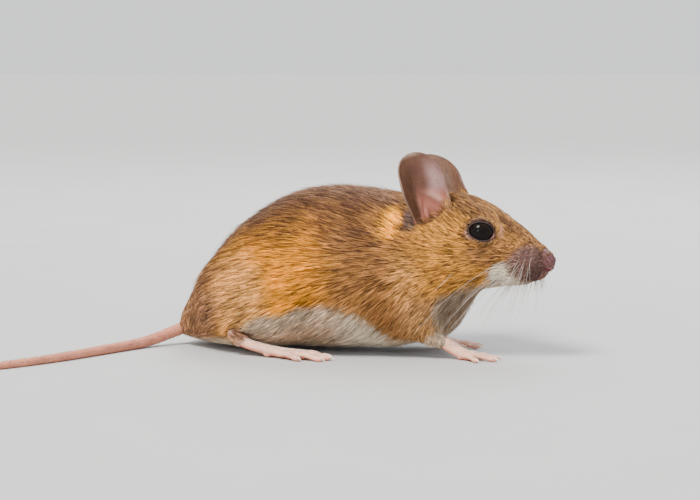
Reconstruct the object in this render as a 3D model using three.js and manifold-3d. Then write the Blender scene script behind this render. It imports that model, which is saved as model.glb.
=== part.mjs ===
// Field mouse, life size, crouched with all four feet on the floor and its head turned a little to its right.
// Millimetres, +X towards the nose, +Y to the mouse's left, +Z up. The body is shaped straight and alike on
// both sides as a field of named masses, the head is then turned, and thin cuts divide the whole into pieces.

import * as THREE from "three";
import { mergeVertices } from "three/addons/utils/BufferGeometryUtils.js";
import Module from "manifold-3d";

const wasm = await Module();
wasm.setup();

const { degToRad, lerp, smoothstep } = THREE.MathUtils;

// ---------------------------------------------------------------- driving sizes

const GAP = 0.3; // clearance between neighbouring pieces

// The neck bends between two places along X, and all in front of them turns about the pivot.
const HEAD_TURN = { angle: degToRad(-9), starts: 6, ends: 20, pivot: 13 };

const EYE = { at: [29.5, 5.4, 25.5], radius: 2.65 };
const NOSE = { at: [41.3, 0, 20], half: [1.9, 1.75, 1.75] };
const EAR = { root: [18, 6, 26.8], height: 14.4, halfWidth: 6.2, widest: 0.55, bend: 1.65, thickness: 0.7 };
const MOUTH = { front: 38, back: 29.5, height: 16.2 };

// The belly is pressed towards the floor: nothing of the coat hangs lower, and it rounds into that level.
const BELLY = { clearance: 0.7, rounding: 3 };

// Flesh and coat of the straight body: centre, half sizes, pitch in degrees (positive lowers the front),
// and the width over which the mass melts into the ones before it. A paired mass lies on both sides.
const MASSES = [
  { name: "barrel", at: [-2, 0, 17.4], half: [22, 15.4, 16.4], pitch: 0, melt: 0 },
  { name: "rump", at: [-20.5, 0, 11.6], half: [14.5, 12.6, 11.2], pitch: -48, melt: 6 },
  { name: "tail_base", at: [-31, 0, 5.8], half: [7.5, 7, 4.6], pitch: -38, melt: 6 },
  { name: "belly", at: [-4, 0, 8.5], half: [20, 13, 7.8], pitch: 0, melt: 5 },
  { name: "haunch", at: [-18.5, 9.2, 10.5], half: [12, 6.8, 10.2], pitch: 12, melt: 4, paired: true },
  { name: "shoulders", at: [12, 0, 17.6], half: [13, 12.4, 13.8], pitch: 8, melt: 6 },
  { name: "chest", at: [14, 0, 10], half: [9, 9, 7.5], pitch: -10, melt: 5 },
  { name: "upper_arm", at: [14, 8, 11.5], half: [6.2, 4.4, 8.6], pitch: -12, melt: 3, paired: true },
  { name: "neck", at: [18, 0, 20.5], half: [9, 10, 11], pitch: 12, melt: 5 },
  { name: "cranium", at: [23.2, 0, 24.6], half: [8.2, 8.4, 8.4], pitch: 10, melt: 4 },
  { name: "cheek", at: [24.8, 4.9, 20], half: [7.4, 4.4, 6.4], pitch: 14, melt: 3, paired: true },
  { name: "face", at: [30.4, 0, 22.4], half: [8.8, 6, 7], pitch: 29, melt: 4 },
  { name: "muzzle", at: [36, 0, 20.1], half: [6.6, 3.9, 4.6], pitch: 14, melt: 3 },
  { name: "whisker_pad", at: [36.6, 2.2, 18.6], half: [3.8, 2.6, 3.1], pitch: 8, melt: 1.5, paired: true },
  { name: "jaw", at: [29, 0, 16.9], half: [8.4, 4.2, 2.6], pitch: -4, melt: 2.5 },
  { name: "brow", at: [28.4, 5.1, 28], half: [3.6, 1.9, 1.7], pitch: 26, melt: 2, paired: true },
];

// The line inside the straight body from which its surface is found, ring by ring.
const SPINE = [
  [-30, 0, 7],
  [-20, 0, 13],
  [-4, 0, 17],
  [10, 0, 17.5],
  [19, 0, 20.5],
  [28, 0, 21.2],
  [36, 0, 19.6],
];
const SPINE_RINGS = 27;
const NOSEWARD = 0.35; // share by which the rings crowd towards the nose
const CAP_RINGS = 3; // that fan round each end of the spine
const BODY_SIDES = 24;

// Planes that part the head from the neck and the neck from the trunk: a point and the forward lean.
const HEAD_CUT = { at: [17, 0, 21], lean: degToRad(26) };
const NECK_CUT = { at: [11.5, 0, 21], lean: degToRad(20) };

// Round cutters that take each upper leg off the trunk.
const HAUNCH = { at: [-20.5, 15, 11.5], half: [13.5, 8.6, 12.4], pitch: 14 };
const SHOULDER = { at: [14.5, 12.5, 11], half: [8, 7.6, 11], pitch: -14 };

// X and Y along the tail and the height of its underside. It comes down to the floor and swings to the right.
const TAIL = { rootRadius: 1.4, tipRadius: 0.45, pieces: 4, sides: 8, ringsPerPiece: 6 };
const TAIL_PATH = [
  [-30, 0, 4.6],
  [-36.5, -2.5, 1.9],
  [-41.5, -8, 0.2],
  [-46.5, -18, 0],
  [-52.5, -30, 0],
  [-60, -41, 0],
  [-71, -51, 0],
  [-83, -57, 0],
  [-94, -60, 0],
];

// Each foot is drawn along +X from its root, then splayed, and its pads are pressed flat on the floor.
const PRESS = 0.08;
const HIND_FOOT = { root: [-20.5, 12.6, 0], splay: degToRad(8), toeRadius: 0.62, clawRadius: 0.27 };
const FORE_FOOT = { root: [22.6, 7.2, 0], splay: degToRad(4), toeRadius: 0.55, clawRadius: 0.26 };
const FOREARM = { elbow: [13.5, 8.6, 8], middle: [17.5, 8.4, 4.9], radii: [3.2, 2.2, 1.45] };

// The halves of an ear on either side of its middle line: the width at the root as a share of the widest,
// how square the tip is, and the radius that the leaf is rolled to at the root and at the tip.
const EAR_FRONT = { base: 1.1, squareness: 1.9, radii: [3.75, 5.1] };
const EAR_REAR = { base: 0.42, squareness: 3.1, radii: [3.3, 8.7] };

// The left forefoot stands a short step back, and the left ear is laid back further and turned more aside.
// An ear leans by these shares of its height, along X and aside, and opens this way round from straight ahead.
const SIDES = [
  { name: "left", sign: 1, step: -6.5, ear: { lean: -0.48, aside: 0.43, opening: degToRad(64) } },
  { name: "right", sign: -1, step: 0, ear: { lean: -0.085, aside: 0.21, opening: degToRad(41) } },
];

// ---------------------------------------------------------------- materials

function finish(color, roughness) {
  return new THREE.MeshStandardMaterial({ color, roughness, metalness: 0 });
}

const FUR = finish(0x9a6a35, 0.9);
const PALE_FUR = finish(0xc8bfae, 0.9);
const BARE_SKIN = finish(0xd9a08c, 0.6);
const EAR_SKIN = finish(0x8f6650, 0.7);
const NOSE_SKIN = finish(0xb57f7a, 0.45);
const EYE_BLACK = finish(0x07060a, 0.05);

// ---------------------------------------------------------------- solids and cuts

function solidOf(geometry) {
  const bare = geometry.clone();
  bare.deleteAttribute("normal");
  bare.deleteAttribute("uv");
  const merged = mergeVertices(bare, 1e-4);
  return new wasm.Manifold(
    new wasm.Mesh({
      numProp: 3,
      vertProperties: merged.attributes.position.array,
      triVerts: new Uint32Array(merged.index.array),
    }),
  );
}

function geometryOf(solid) {
  const mesh = solid.getMesh();
  const geometry = new THREE.BufferGeometry();
  geometry.setAttribute("position", new THREE.BufferAttribute(mesh.vertProperties, mesh.numProp));
  geometry.setIndex(new THREE.BufferAttribute(mesh.triVerts, 1));
  geometry.computeVertexNormals();
  return geometry;
}

// Everything in front of a leaning plane, as a large box whose back face is that plane.
function inFrontOf({ at, lean }, shift = 0) {
  const size = 200;
  const box = new THREE.BoxGeometry(size, size, size);
  box.translate(size / 2 + shift, 0, 0);
  box.rotateY(-lean);
  box.translate(...at);
  return solidOf(box);
}

function ellipsoid({ at, half, pitch = 0 }, grow = 0, side = 1, segments = 14) {
  const shape = new THREE.SphereGeometry(1, segments, Math.round(segments * 0.65));
  shape.scale(half[0] + grow, half[1] + grow, half[2] + grow);
  shape.rotateY(degToRad(pitch));
  shape.translate(at[0], at[1] * side, at[2]);
  return solidOf(shape);
}

const FLOOR = solidOf(new THREE.BoxGeometry(400, 400, 40).translate(0, 0, -20));

// ---------------------------------------------------------------- closed surfaces from rings

// A closed surface through rings of equally many points, with one point beyond each end.
function closedSurface(startPoint, rings, endPoint) {
  const around = rings[0].length;
  const positions = [startPoint, ...rings.flat(), endPoint].flatMap((p) => [p.x, p.y, p.z]);
  const indices = [];
  const at = (ring, side) => 1 + ring * around + (side % around);
  const last = positions.length / 3 - 1;
  for (let side = 0; side < around; side++) {
    indices.push(0, at(0, side + 1), at(0, side));
    for (let ring = 0; ring + 1 < rings.length; ring++) {
      indices.push(at(ring, side), at(ring, side + 1), at(ring + 1, side));
      indices.push(at(ring + 1, side), at(ring, side + 1), at(ring + 1, side + 1));
    }
    indices.push(at(rings.length - 1, side), at(rings.length - 1, side + 1), last);
  }
  const geometry = new THREE.BufferGeometry();
  geometry.setAttribute("position", new THREE.Float32BufferAttribute(positions, 3));
  geometry.setIndex(indices);
  return geometry;
}

// A limb, toe or tail length: oval rings along a path. widths and heights are half sizes at each path point,
// and each end is either rounded or cut square and drawn in by half a gap.
function limb({ path, widths, heights = widths, rings, sides, from = 0, to = 1, round = [true, true], cut = 0 }) {
  const line = new THREE.CatmullRomCurve3(path.map((p) => new THREE.Vector3(...p)), false, "centripetal");
  const sizes = new THREE.CatmullRomCurve3(widths.map((w, i) => new THREE.Vector3(w, heights[i], 0)));
  const ringAt = (u, shrink, slide) => {
    const centre = line.getPoint(u);
    const tangent = line.getTangent(u);
    const across = new THREE.Vector3(-tangent.y, tangent.x, 0).normalize();
    const upward = new THREE.Vector3().crossVectors(tangent, across);
    const size = sizes.getPoint(u);
    centre.addScaledVector(tangent, slide);
    const ring = [];
    for (let side = 0; side < sides; side++) {
      const angle = (2 * Math.PI * side) / sides;
      const point = centre.clone();
      point.addScaledVector(across, Math.cos(angle) * size.x * shrink);
      point.addScaledVector(upward, Math.sin(angle) * size.y * shrink);
      ring.push(point);
    }
    return ring;
  };
  const endAt = (u, isRound, outward) => {
    const size = sizes.getPoint(u);
    const bulge = outward * Math.min(size.x, size.y);
    const lean = Math.SQRT1_2;
    const tip = line.getPoint(u).addScaledVector(line.getTangent(u), isRound ? bulge : -outward * cut);
    return isRound
      ? [ringAt(u, 1, 0), ringAt(u, lean, bulge * lean), tip]
      : [ringAt(u, 1, -outward * cut), tip];
  };
  const start = endAt(from, round[0], -1);
  const end = endAt(to, round[1], 1);
  const between = Array.from({ length: rings - 1 }, (_, i) => ringAt(lerp(from, to, (i + 1) / rings), 1, 0));
  const inOrder = [...start.slice(0, -1).toReversed(), ...between, ...end.slice(0, -1)];
  return solidOf(closedSurface(start.at(-1), inOrder, end.at(-1)));
}

// ---------------------------------------------------------------- the body as a field of masses

function distanceToMass(mass, point) {
  const away = point.clone();
  if (mass.paired) away.y = Math.abs(away.y);
  away.sub(new THREE.Vector3(...mass.at));
  away.applyAxisAngle(new THREE.Vector3(0, 1, 0), -degToRad(mass.pitch));
  const [a, b, c] = mass.half;
  const near = Math.hypot(away.x / a, away.y / b, away.z / c);
  const slope = Math.hypot(away.x / (a * a), away.y / (b * b), away.z / (c * c));
  return slope < 1e-9 ? -Math.min(a, b, c) : (near * (near - 1)) / slope;
}

// Below zero inside the body. Each mass melts into the ones before it.
function bodyField(point) {
  return MASSES.reduce((before, mass) => {
    const own = distanceToMass(mass, point);
    const share = mass.melt ? Math.max(mass.melt - Math.abs(before - own), 0) / mass.melt : 0;
    return Math.min(before, own) - (share * share * mass.melt) / 4;
  }, Infinity);
}

// Where a ray from inside leaves the body, or the body grown all round.
function surfacePoint(origin, direction, grow) {
  const point = (reach) => origin.clone().addScaledVector(direction, reach);
  let reach = 0.2;
  while (bodyField(point(reach)) < grow) reach += 0.4;
  let low = reach - 0.4;
  for (let step = 0; step < 14; step++) {
    const middle = (low + reach) / 2;
    if (bodyField(point(middle)) < grow) low = middle;
    else reach = middle;
  }
  return point(reach);
}

// Lifts what would hang below the belly's level, easing into it.
function settle(point) {
  const near = Math.max(BELLY.rounding - Math.abs(point.z - BELLY.clearance), 0) / BELLY.rounding;
  const height = Math.max(point.z, BELLY.clearance) + (near * near * BELLY.rounding) / 4;
  return new THREE.Vector3(point.x, point.y, height);
}

function turnHead(point) {
  const share = smoothstep(point.x, HEAD_TURN.starts, HEAD_TURN.ends);
  const pivot = new THREE.Vector3(HEAD_TURN.pivot, 0, 0);
  return point.clone().sub(pivot).applyAxisAngle(new THREE.Vector3(0, 0, 1), HEAD_TURN.angle * share).add(pivot);
}

function bodySurface(grow = 0) {
  const spine = new THREE.CatmullRomCurve3(SPINE.map((p) => new THREE.Vector3(...p)));
  const ray = (u, lean, angle) => {
    const tangent = spine.getTangentAt(u);
    const across = new THREE.Vector3(0, 1, 0);
    const upward = new THREE.Vector3().crossVectors(tangent, across);
    const direction = tangent.clone().multiplyScalar(Math.sin(lean));
    direction.addScaledVector(across, Math.cos(lean) * Math.cos(angle));
    direction.addScaledVector(upward, Math.cos(lean) * Math.sin(angle));
    return turnHead(settle(surfacePoint(spine.getPointAt(u), direction, grow)));
  };
  const ring = (u, lean) =>
    Array.from({ length: BODY_SIDES }, (_, side) => ray(u, lean, (2 * Math.PI * side) / BODY_SIDES));
  const rings = [];
  const capLean = (i) => (Math.PI / 2) * (i / (CAP_RINGS + 1));
  for (let i = CAP_RINGS; i > 0; i--) rings.push(ring(0, -capLean(i)));
  for (let i = 0; i < SPINE_RINGS; i++) {
    const even = i / (SPINE_RINGS - 1);
    rings.push(ring(even + (NOSEWARD * Math.sin(Math.PI * even)) / Math.PI, 0));
  }
  for (let i = 1; i <= CAP_RINGS; i++) rings.push(ring(1, capLean(i)));
  return closedSurface(ray(0, -Math.PI / 2, 0), rings, ray(1, Math.PI / 2, 0));
}

// A solid that belongs to the straight head, turned with it. Only what is wholly on the head goes through here.
function withHead(solid) {
  const geometry = geometryOf(solid);
  geometry.translate(-HEAD_TURN.pivot, 0, 0).rotateZ(HEAD_TURN.angle).translate(HEAD_TURN.pivot, 0, 0);
  return solidOf(geometry);
}

// ---------------------------------------------------------------- eyes, ears and nose

function eyeball(side, grow = 0) {
  return withHead(ellipsoid({ at: EYE.at, half: Array(3).fill(EYE.radius) }, grow, side));
}

function nosePad(grow = 0) {
  return withHead(ellipsoid(NOSE, grow, 1, 12));
}

// A cupped leaf: crescent-shaped rings from the root to the tip, rolled up at the root and flatter behind.
function ear(side, { lean, aside, opening }) {
  const up = new THREE.Vector3(lean, aside, 0.95).normalize();
  const open = new THREE.Vector3(Math.cos(opening), Math.sin(opening), 0);
  open.addScaledVector(up, -open.dot(up)).normalize();
  const across = new THREE.Vector3().crossVectors(up, open);
  const steps = 8;
  const past = (v) => Math.max(0, (v - EAR.widest) / (1 - EAR.widest));
  const pointAt = (v, sweep, outward) => {
    const rear = smoothstep(sweep, -0.3, 0.3);
    const between = (key) => lerp(EAR_FRONT[key], EAR_REAR[key], rear);
    const radius = lerp(...[0, 1].map((i) => lerp(EAR_FRONT.radii[i], EAR_REAR.radii[i], rear)), v ** 0.8);
    const swell = lerp(between("base"), 1, smoothstep(v, 0, EAR.widest));
    const close = Math.sqrt(Math.max(0, 1 - past(v) ** between("squareness")));
    const angle = (sweep * EAR.halfWidth * swell * close) / radius;
    const point = new THREE.Vector3(...EAR.root).addScaledVector(up, EAR.height * v);
    point.addScaledVector(across, Math.sin(angle) * (radius + outward));
    point.addScaledVector(open, radius - Math.cos(angle) * (radius + outward) - EAR.bend * v * v);
    point.y *= side;
    return point;
  };
  const sweeps = Array.from({ length: steps + 1 }, (_, i) => (2 * i) / steps - 1);
  const ringAt = (v) => {
    const inner = sweeps.map((sweep) => pointAt(v, sweep, 0));
    const outer = sweeps.toReversed().map((sweep) => pointAt(v, sweep, EAR.thickness));
    const ring = [...inner, ...outer];
    return side > 0 ? ring : ring.toReversed();
  };
  const heights = [0.02, 0.19, 0.36, 0.52, 0.65, 0.76, 0.85, 0.92, 0.97];
  const start = pointAt(0, 0, EAR.thickness / 2);
  const end = pointAt(1, 0, EAR.thickness / 2);
  return withHead(solidOf(closedSurface(start, heights.map(ringAt), end)));
}

// ---------------------------------------------------------------- feet

// Moves a path drawn along +X to its foot: splayed, set at its root and mirrored to its side.
function placed(path, foot, side) {
  const root = new THREE.Vector3(foot.root[0] + (foot.step ?? 0), foot.root[1], foot.root[2]);
  return path.map((p) => {
    const point = new THREE.Vector3(...p).applyAxisAngle(new THREE.Vector3(0, 0, 1), foot.splay).add(root);
    return [point.x, side * point.y, point.z];
  });
}

// One toe: a knuckle that arches a little, a pad on the floor and a claw.
function toe(foot, side, [from, spread, length], grow) {
  const along = (share, height) => [
    from[0] + Math.cos(spread) * length * share,
    from[1] + Math.sin(spread) * length * share,
    height,
  ];
  const pad = foot.toeRadius;
  const path = [from, along(0.4, pad * 1.8), along(0.75, pad - PRESS), along(1, pad * 0.7)];
  return limb({
    path: placed(path, foot, side),
    widths: [pad * 1.1, pad * 0.9, pad, foot.clawRadius].map((w) => w + grow),
    rings: 3,
    sides: 5,
  });
}

function joined(solids) {
  return solids.reduce((all, solid) => all.add(solid)).subtract(FLOOR);
}

// Toes run from the inner one to the outer one: where each starts on the sole, its spread and its length.
function hindFoot(side, grow = 0) {
  const sole = limb({
    path: placed([[0, 0, 4.4], [3, 0, 2.9], [8, 0, 1.5], [12, 0, 1.1], [14.6, 0, 0.92]], HIND_FOOT, side),
    widths: [1.25, 1.4, 1.6, 2.1, 2].map((w) => w + grow),
    heights: [1.35, 1.35, 1.3, 1.2, 1].map((h) => h + grow),
    rings: 6,
    sides: 8,
  });
  const toes = [
    [[11.2, -1.6, 1.1], degToRad(-20), 4.2],
    [[14.2, -1.25, 1.1], degToRad(-8), 5.6],
    [[14.8, 0, 1.15], 0, 6],
    [[14.2, 1.25, 1.1], degToRad(8), 5.6],
    [[11, 1.7, 1.1], degToRad(20), 4.6],
  ];
  return joined([sole, ...toes.map((shape) => toe(HIND_FOOT, side, shape, grow))]);
}

function foreFoot(side, step, grow = 0) {
  const foot = { ...FORE_FOOT, step };
  const palm = limb({
    path: placed([[0, 0, 2.3], [1.8, 0, 1.4], [3.3, 0, 0.86], [4.8, 0, 0.84]], foot, side),
    widths: [1.3, 1.5, 1.7, 1.6].map((w) => w + grow),
    heights: [1.3, 1.1, 0.94, 0.92].map((h) => h + grow),
    rings: 3,
    sides: 8,
  });
  const toes = [
    [[3.4, -1.2, 1.05], degToRad(-26), 4],
    [[4.4, -0.5, 1.05], degToRad(-8), 5.4],
    [[4.4, 0.6, 1.05], degToRad(8), 5.3],
    [[3.2, 1.3, 1.05], degToRad(38), 4],
  ];
  return joined([palm, ...toes.map((shape) => toe(foot, side, shape, grow))]);
}

function forearm(side, step, grow = 0) {
  const wrist = placed([[-0.3, 0.1, 2.5]], { ...FORE_FOOT, step }, side)[0];
  const { elbow, middle } = FOREARM;
  return limb({
    path: [[elbow[0], side * elbow[1], elbow[2]], [middle[0] + step * 0.6, side * middle[1], middle[2]], wrist],
    widths: FOREARM.radii.map((r) => r + grow),
    rings: 4,
    sides: 8,
  }).subtract(FLOOR);
}

// ---------------------------------------------------------------- the tail

function tailRadius(u) {
  return lerp(TAIL.rootRadius, TAIL.tipRadius, u ** 0.9);
}

function tailPiece(index) {
  const knots = TAIL_PATH.length - 1;
  const radii = TAIL_PATH.map((_, i) => tailRadius(i / knots));
  return limb({
    path: TAIL_PATH.map(([x, y, underside], i) => [x, y, underside + radii[i] - PRESS]),
    widths: radii,
    rings: TAIL.ringsPerPiece,
    sides: TAIL.sides,
    from: index / TAIL.pieces,
    to: (index + 1) / TAIL.pieces,
    round: [false, index === TAIL.pieces - 1],
    cut: GAP / 2,
  }).subtract(FLOOR);
}

// ---------------------------------------------------------------- the whole, parted

const whole = solidOf(bodySurface());
const clearOfBody = solidOf(bodySurface(GAP));

const legSpaces = SIDES.flatMap(({ sign, step }) => [
  ellipsoid(HAUNCH, GAP, sign),
  ellipsoid(SHOULDER, GAP, sign),
  forearm(sign, step, GAP),
]);
const footSpaces = SIDES.flatMap(({ sign, step }) => [hindFoot(sign, GAP), foreFoot(sign, step, GAP)]);
const faceSpaces = [...SIDES.map(({ sign }) => eyeball(sign, GAP)), nosePad(GAP)];

function without(solid, spaces) {
  return spaces.reduce((left, space) => left.subtract(space), solid);
}

// The largest piece of a solid, which leaves out slivers that a cut can shave off.
function mainPiece(solid) {
  return solid.decompose().reduce((a, b) => (b.volume() > a.volume() ? b : a));
}

function mesh(name, solid, material) {
  const made = new THREE.Mesh(geometryOf(mainPiece(solid)), material);
  made.name = name;
  return made;
}

// All below the mouth line from the chin forwards.
function jawSpace(grow = 0) {
  const slab = new THREE.BoxGeometry(MOUTH.front - MOUTH.back + 2 * grow, 40, MOUTH.height + grow);
  slab.translate((MOUTH.front + MOUTH.back) / 2, 0, (MOUTH.height + grow) / 2);
  return withHead(solidOf(slab));
}

const collar = whole.intersect(inFrontOf(NECK_CUT)).subtract(inFrontOf(HEAD_CUT, -GAP));
const trunk = without(whole.subtract(inFrontOf(NECK_CUT, -GAP)), [...legSpaces, ...footSpaces]);
const neck = without(collar, [...legSpaces, ...footSpaces]);
const head = without(whole.intersect(inFrontOf(HEAD_CUT)), [...faceSpaces, ...legSpaces]);

const mouse = new THREE.Group();
mouse.name = "field_mouse";
mouse.add(
  mesh("trunk", trunk, FUR),
  mesh("neck", neck, FUR),
  mesh("head", head.subtract(jawSpace(GAP)), FUR),
  mesh("lower_jaw", head.intersect(jawSpace()), PALE_FUR),
  mesh("nose", nosePad(), NOSE_SKIN),
);

for (const { name, sign, step, ear: pose } of SIDES) {
  const haunch = without(whole.intersect(ellipsoid(HAUNCH, 0, sign)), footSpaces);
  const shoulder = whole.intersect(ellipsoid(SHOULDER, 0, sign)).add(forearm(sign, step));
  mouse.add(
    mesh(`eye_${name}`, eyeball(sign), EYE_BLACK),
    mesh(`ear_${name}`, ear(sign, pose).subtract(clearOfBody), EAR_SKIN),
    mesh(`fore_leg_${name}`, without(shoulder, footSpaces), FUR),
    mesh(`fore_foot_${name}`, foreFoot(sign, step), BARE_SKIN),
    mesh(`hind_leg_${name}`, haunch, FUR),
    mesh(`hind_foot_${name}`, hindFoot(sign), BARE_SKIN),
  );
}

for (let index = 0; index < TAIL.pieces; index++) {
  const piece = tailPiece(index).subtract(clearOfBody);
  mouse.add(mesh(`tail_${index + 1}`, piece, BARE_SKIN));
}

// The origin is on the floor under the middle of the whole, tail included.
mouse.updateMatrixWorld(true);
const middle = new THREE.Box3().setFromObject(mouse, true).getCenter(new THREE.Vector3());
mouse.position.set(-middle.x, -middle.y, 0);

export default mouse;
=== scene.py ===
"""Dresses the solids of a life-size field mouse: one skin, glossy eyes, claws, whiskers and a coat of tufts.

Shapes are worked out in the mouse's own measure, in millimetres: X towards the nose, Y to its left, Z up,
the origin on the floor under the shoulders and the head held straight. They are then turned at the neck
and set in the row frame, in metres.
"""

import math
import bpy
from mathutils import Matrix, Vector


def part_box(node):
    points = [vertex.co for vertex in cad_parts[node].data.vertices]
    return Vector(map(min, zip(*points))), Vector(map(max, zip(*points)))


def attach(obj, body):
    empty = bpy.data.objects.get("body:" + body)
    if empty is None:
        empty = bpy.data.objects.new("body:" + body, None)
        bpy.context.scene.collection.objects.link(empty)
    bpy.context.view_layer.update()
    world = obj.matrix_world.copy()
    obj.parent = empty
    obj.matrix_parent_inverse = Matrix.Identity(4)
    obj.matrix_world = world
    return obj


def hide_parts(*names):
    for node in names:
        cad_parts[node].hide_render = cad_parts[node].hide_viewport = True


bl_info = {
    "name": "Field mouse looks",
    "version": (1, 0, 0),
    "blender": (4, 5, 0),
    "location": "View3D > Sidebar > Mouse",
    "description": "Skin, coat, eyes, claws, whiskers and studio of a life-size crouching field mouse",
    "category": "Mesh",
}

import bmesh
import bpy
import numpy as np
from bpy.props import FloatProperty, FloatVectorProperty, IntProperty, PointerProperty
from mathutils import Vector
from mathutils.bvhtree import BVHTree
from mathutils.kdtree import KDTree

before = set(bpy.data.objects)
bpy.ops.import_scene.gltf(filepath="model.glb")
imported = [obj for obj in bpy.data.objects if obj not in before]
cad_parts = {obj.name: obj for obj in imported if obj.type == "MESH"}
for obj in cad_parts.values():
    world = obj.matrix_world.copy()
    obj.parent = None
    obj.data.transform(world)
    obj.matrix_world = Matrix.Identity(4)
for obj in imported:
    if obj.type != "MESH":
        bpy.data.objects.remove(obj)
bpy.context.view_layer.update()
MM = 0.001
SEED = 41

SIDES = {"left": 1, "right": -1}
BODY_NODES = ["trunk", "neck", "head", "lower_jaw", "nose"]
LEG_NODES = [f"{leg}_leg_{side}" for leg in ("fore", "hind") for side in SIDES]
FOOT_NODES = [f"{leg}_foot_{side}" for leg in ("fore", "hind") for side in SIDES]
EAR_NODES = [f"ear_{side}" for side in SIDES]
EYE_NODES = [f"eye_{side}" for side in SIDES]
TAIL_NODES = [f"tail_{number}" for number in range(1, 5)]

# ---- places on the mouse, in its own measure

EYE = np.array([29.5, 5.4, 25.5])
EYE_RADIUS = 2.65
CORNEA_BULGE = 0.035
NOSE = np.array([41.3, 0.0, 20.0])
NOSE_HALF = np.array([1.9, 1.75, 1.75])
NECK_TURN = {"starts": 6.0, "ends": 20.0, "pivot": 13.0}
MOUTH = {"front": 38.6, "back": 29.8, "height": 16.2}

# The eye looks out this way, and its lids leave an oval open: half length along the head and half height.
GAZE = np.array([0.36, 0.9, 0.2])
LID_OPENING = np.array([2.42, 1.7])
LID_THICKNESS = 0.26
LID_LOWEST = 0.9
LID_FURROW = 0.16

EAR_ROOT = np.array([18.0, 6.0, 26.8])
EAR_SIZE = {"height": 14.4, "half_width": 6.2, "widest": 0.55, "bend": 1.65}

# The halves of an ear on either side of its middle line: the width at the root as a share of the widest,
# how square the tip is, and the radius that the leaf is rolled to at the root and at the tip.
EAR_FRONT = {"base": 1.1, "squareness": 1.9, "radii": (3.75, 5.1)}
EAR_REAR = {"base": 0.42, "squareness": 3.1, "radii": (3.3, 8.7)}
EAR_POSES = {
    "left": {"lean": -0.48, "aside": 0.43, "opening": 64},
    "right": {"lean": -0.085, "aside": 0.21, "opening": 41},
}

# X and Y along the tail and the height of its underside.
TAIL_PATH = np.array([
    [-30, 0, 4.6], [-36.5, -2.5, 1.9], [-41.5, -8, 0.2], [-46.5, -18, 0], [-52.5, -30, 0], [-60, -41, 0],
    [-71, -51, 0], [-83, -57, 0], [-94, -60, 0],
])
TAIL_RADII = (1.38, 0.43)
TAIL_RING = 0.6

# How far each forefoot has stepped along X from its own place.
STEP = {"left": -6.5, "right": 0.0}

# The line along the middle of the body, from the tail's root to the nose: X and height.
SPINE = np.array([
    [-31, 6], [-24, 11], [-14, 15.5], [0, 18.5], [12, 19.5], [20, 21.5], [28, 21.5], [36, 19.8], [43, 19.5],
])

# Height of the edge of the white underside, along X.
WHITE_EDGE = np.array([
    [-32, 2.6], [-24, 3], [-20, 5], [-15.7, 8], [-12.6, 9.2], [-8.6, 10], [-5.6, 11.2], [-0.4, 12.4],
    [3, 11.6], [7, 9.4], [11, 7.6], [14, 5.4], [18, 4], [20, 5.5], [21.3, 10.8], [22.6, 13.2], [24, 14.3],
    [26.5, 15.2], [29, 15.9], [31.4, 16.4], [34, 17.2], [40, 17.8],
])


def node_centre(name):
    low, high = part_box(name)
    return np.array((low + high) / 2) / MM


def place_in_frame():
    """The angle of the turned head, and where the mouse's own origin lies in the row frame."""
    left, right = node_centre("eye_left"), node_centre("eye_right")
    across = left - right
    angle = math.atan2(across[1], across[0]) - math.pi / 2
    reach = EYE[0] - NECK_TURN["pivot"]
    from_origin = [NECK_TURN["pivot"] + reach * math.cos(angle), reach * math.sin(angle)]
    between = (left + right) / 2
    return angle, np.array([between[0] - from_origin[0], between[1] - from_origin[1], 0.0])


HEAD_ANGLE, ORIGIN = place_in_frame()

# ---- small arithmetic


def ease(low, high, value):
    """0 at low, 1 at high, smooth between them; low may be above high."""
    share = np.clip((value - low) / (high - low), 0, 1)
    return share * share * (3 - 2 * share)


def mix(first, second, share):
    return first + (second - first) * share


def unit(vectors):
    length = np.linalg.norm(vectors, axis=-1, keepdims=True)
    return vectors / np.maximum(length, 1e-12)


def dot(first, second):
    return np.sum(first * second, axis=-1)


def bell(*offsets):
    """1 where every offset is 0, falling away smoothly round it."""
    return np.exp(-sum(offset**2 for offset in offsets))


def ripples(points, wavelength, seed):
    """A smooth wandering value from -1 to 1, about one wavelength from crest to crest."""
    draw = np.random.default_rng(seed)
    total = np.zeros(len(points))
    waves = 6
    for _ in range(waves):
        heading = unit(draw.normal(size=3)) * 2 * math.pi / (wavelength * draw.uniform(0.7, 1.5))
        total += np.sin(points @ heading + draw.uniform(0, 2 * math.pi))
    return total / math.sqrt(waves * 2)


def turned(points, angles):
    """Points or directions turned about a vertical line through the origin, each by its own angle."""
    cosine, sine = np.cos(angles), np.sin(angles)
    x, y = points[:, 0], points[:, 1]
    return np.stack([x * cosine - y * sine, x * sine + y * cosine, points[:, 2]], 1)


def standing(points):
    """From the straight mouse to the standing one, its head turned."""
    pivot = np.array([NECK_TURN["pivot"], 0, 0])
    angles = HEAD_ANGLE * ease(NECK_TURN["starts"], NECK_TURN["ends"], points[:, 0])
    return turned(points - pivot, angles) + pivot


def straightened(points):
    """From the standing mouse back to the straight one, whose places give the turn."""
    pivot = np.array([NECK_TURN["pivot"], 0, 0])
    straight = points.copy()
    for _ in range(16):
        angles = HEAD_ANGLE * ease(NECK_TURN["starts"], NECK_TURN["ends"], straight[:, 0])
        straight = turned(points - pivot, -angles) + pivot
    return straight


def in_frame(points):
    """From the straight mouse, in millimetres, to the row frame, in metres."""
    return (standing(points) + ORIGIN) * MM


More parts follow.
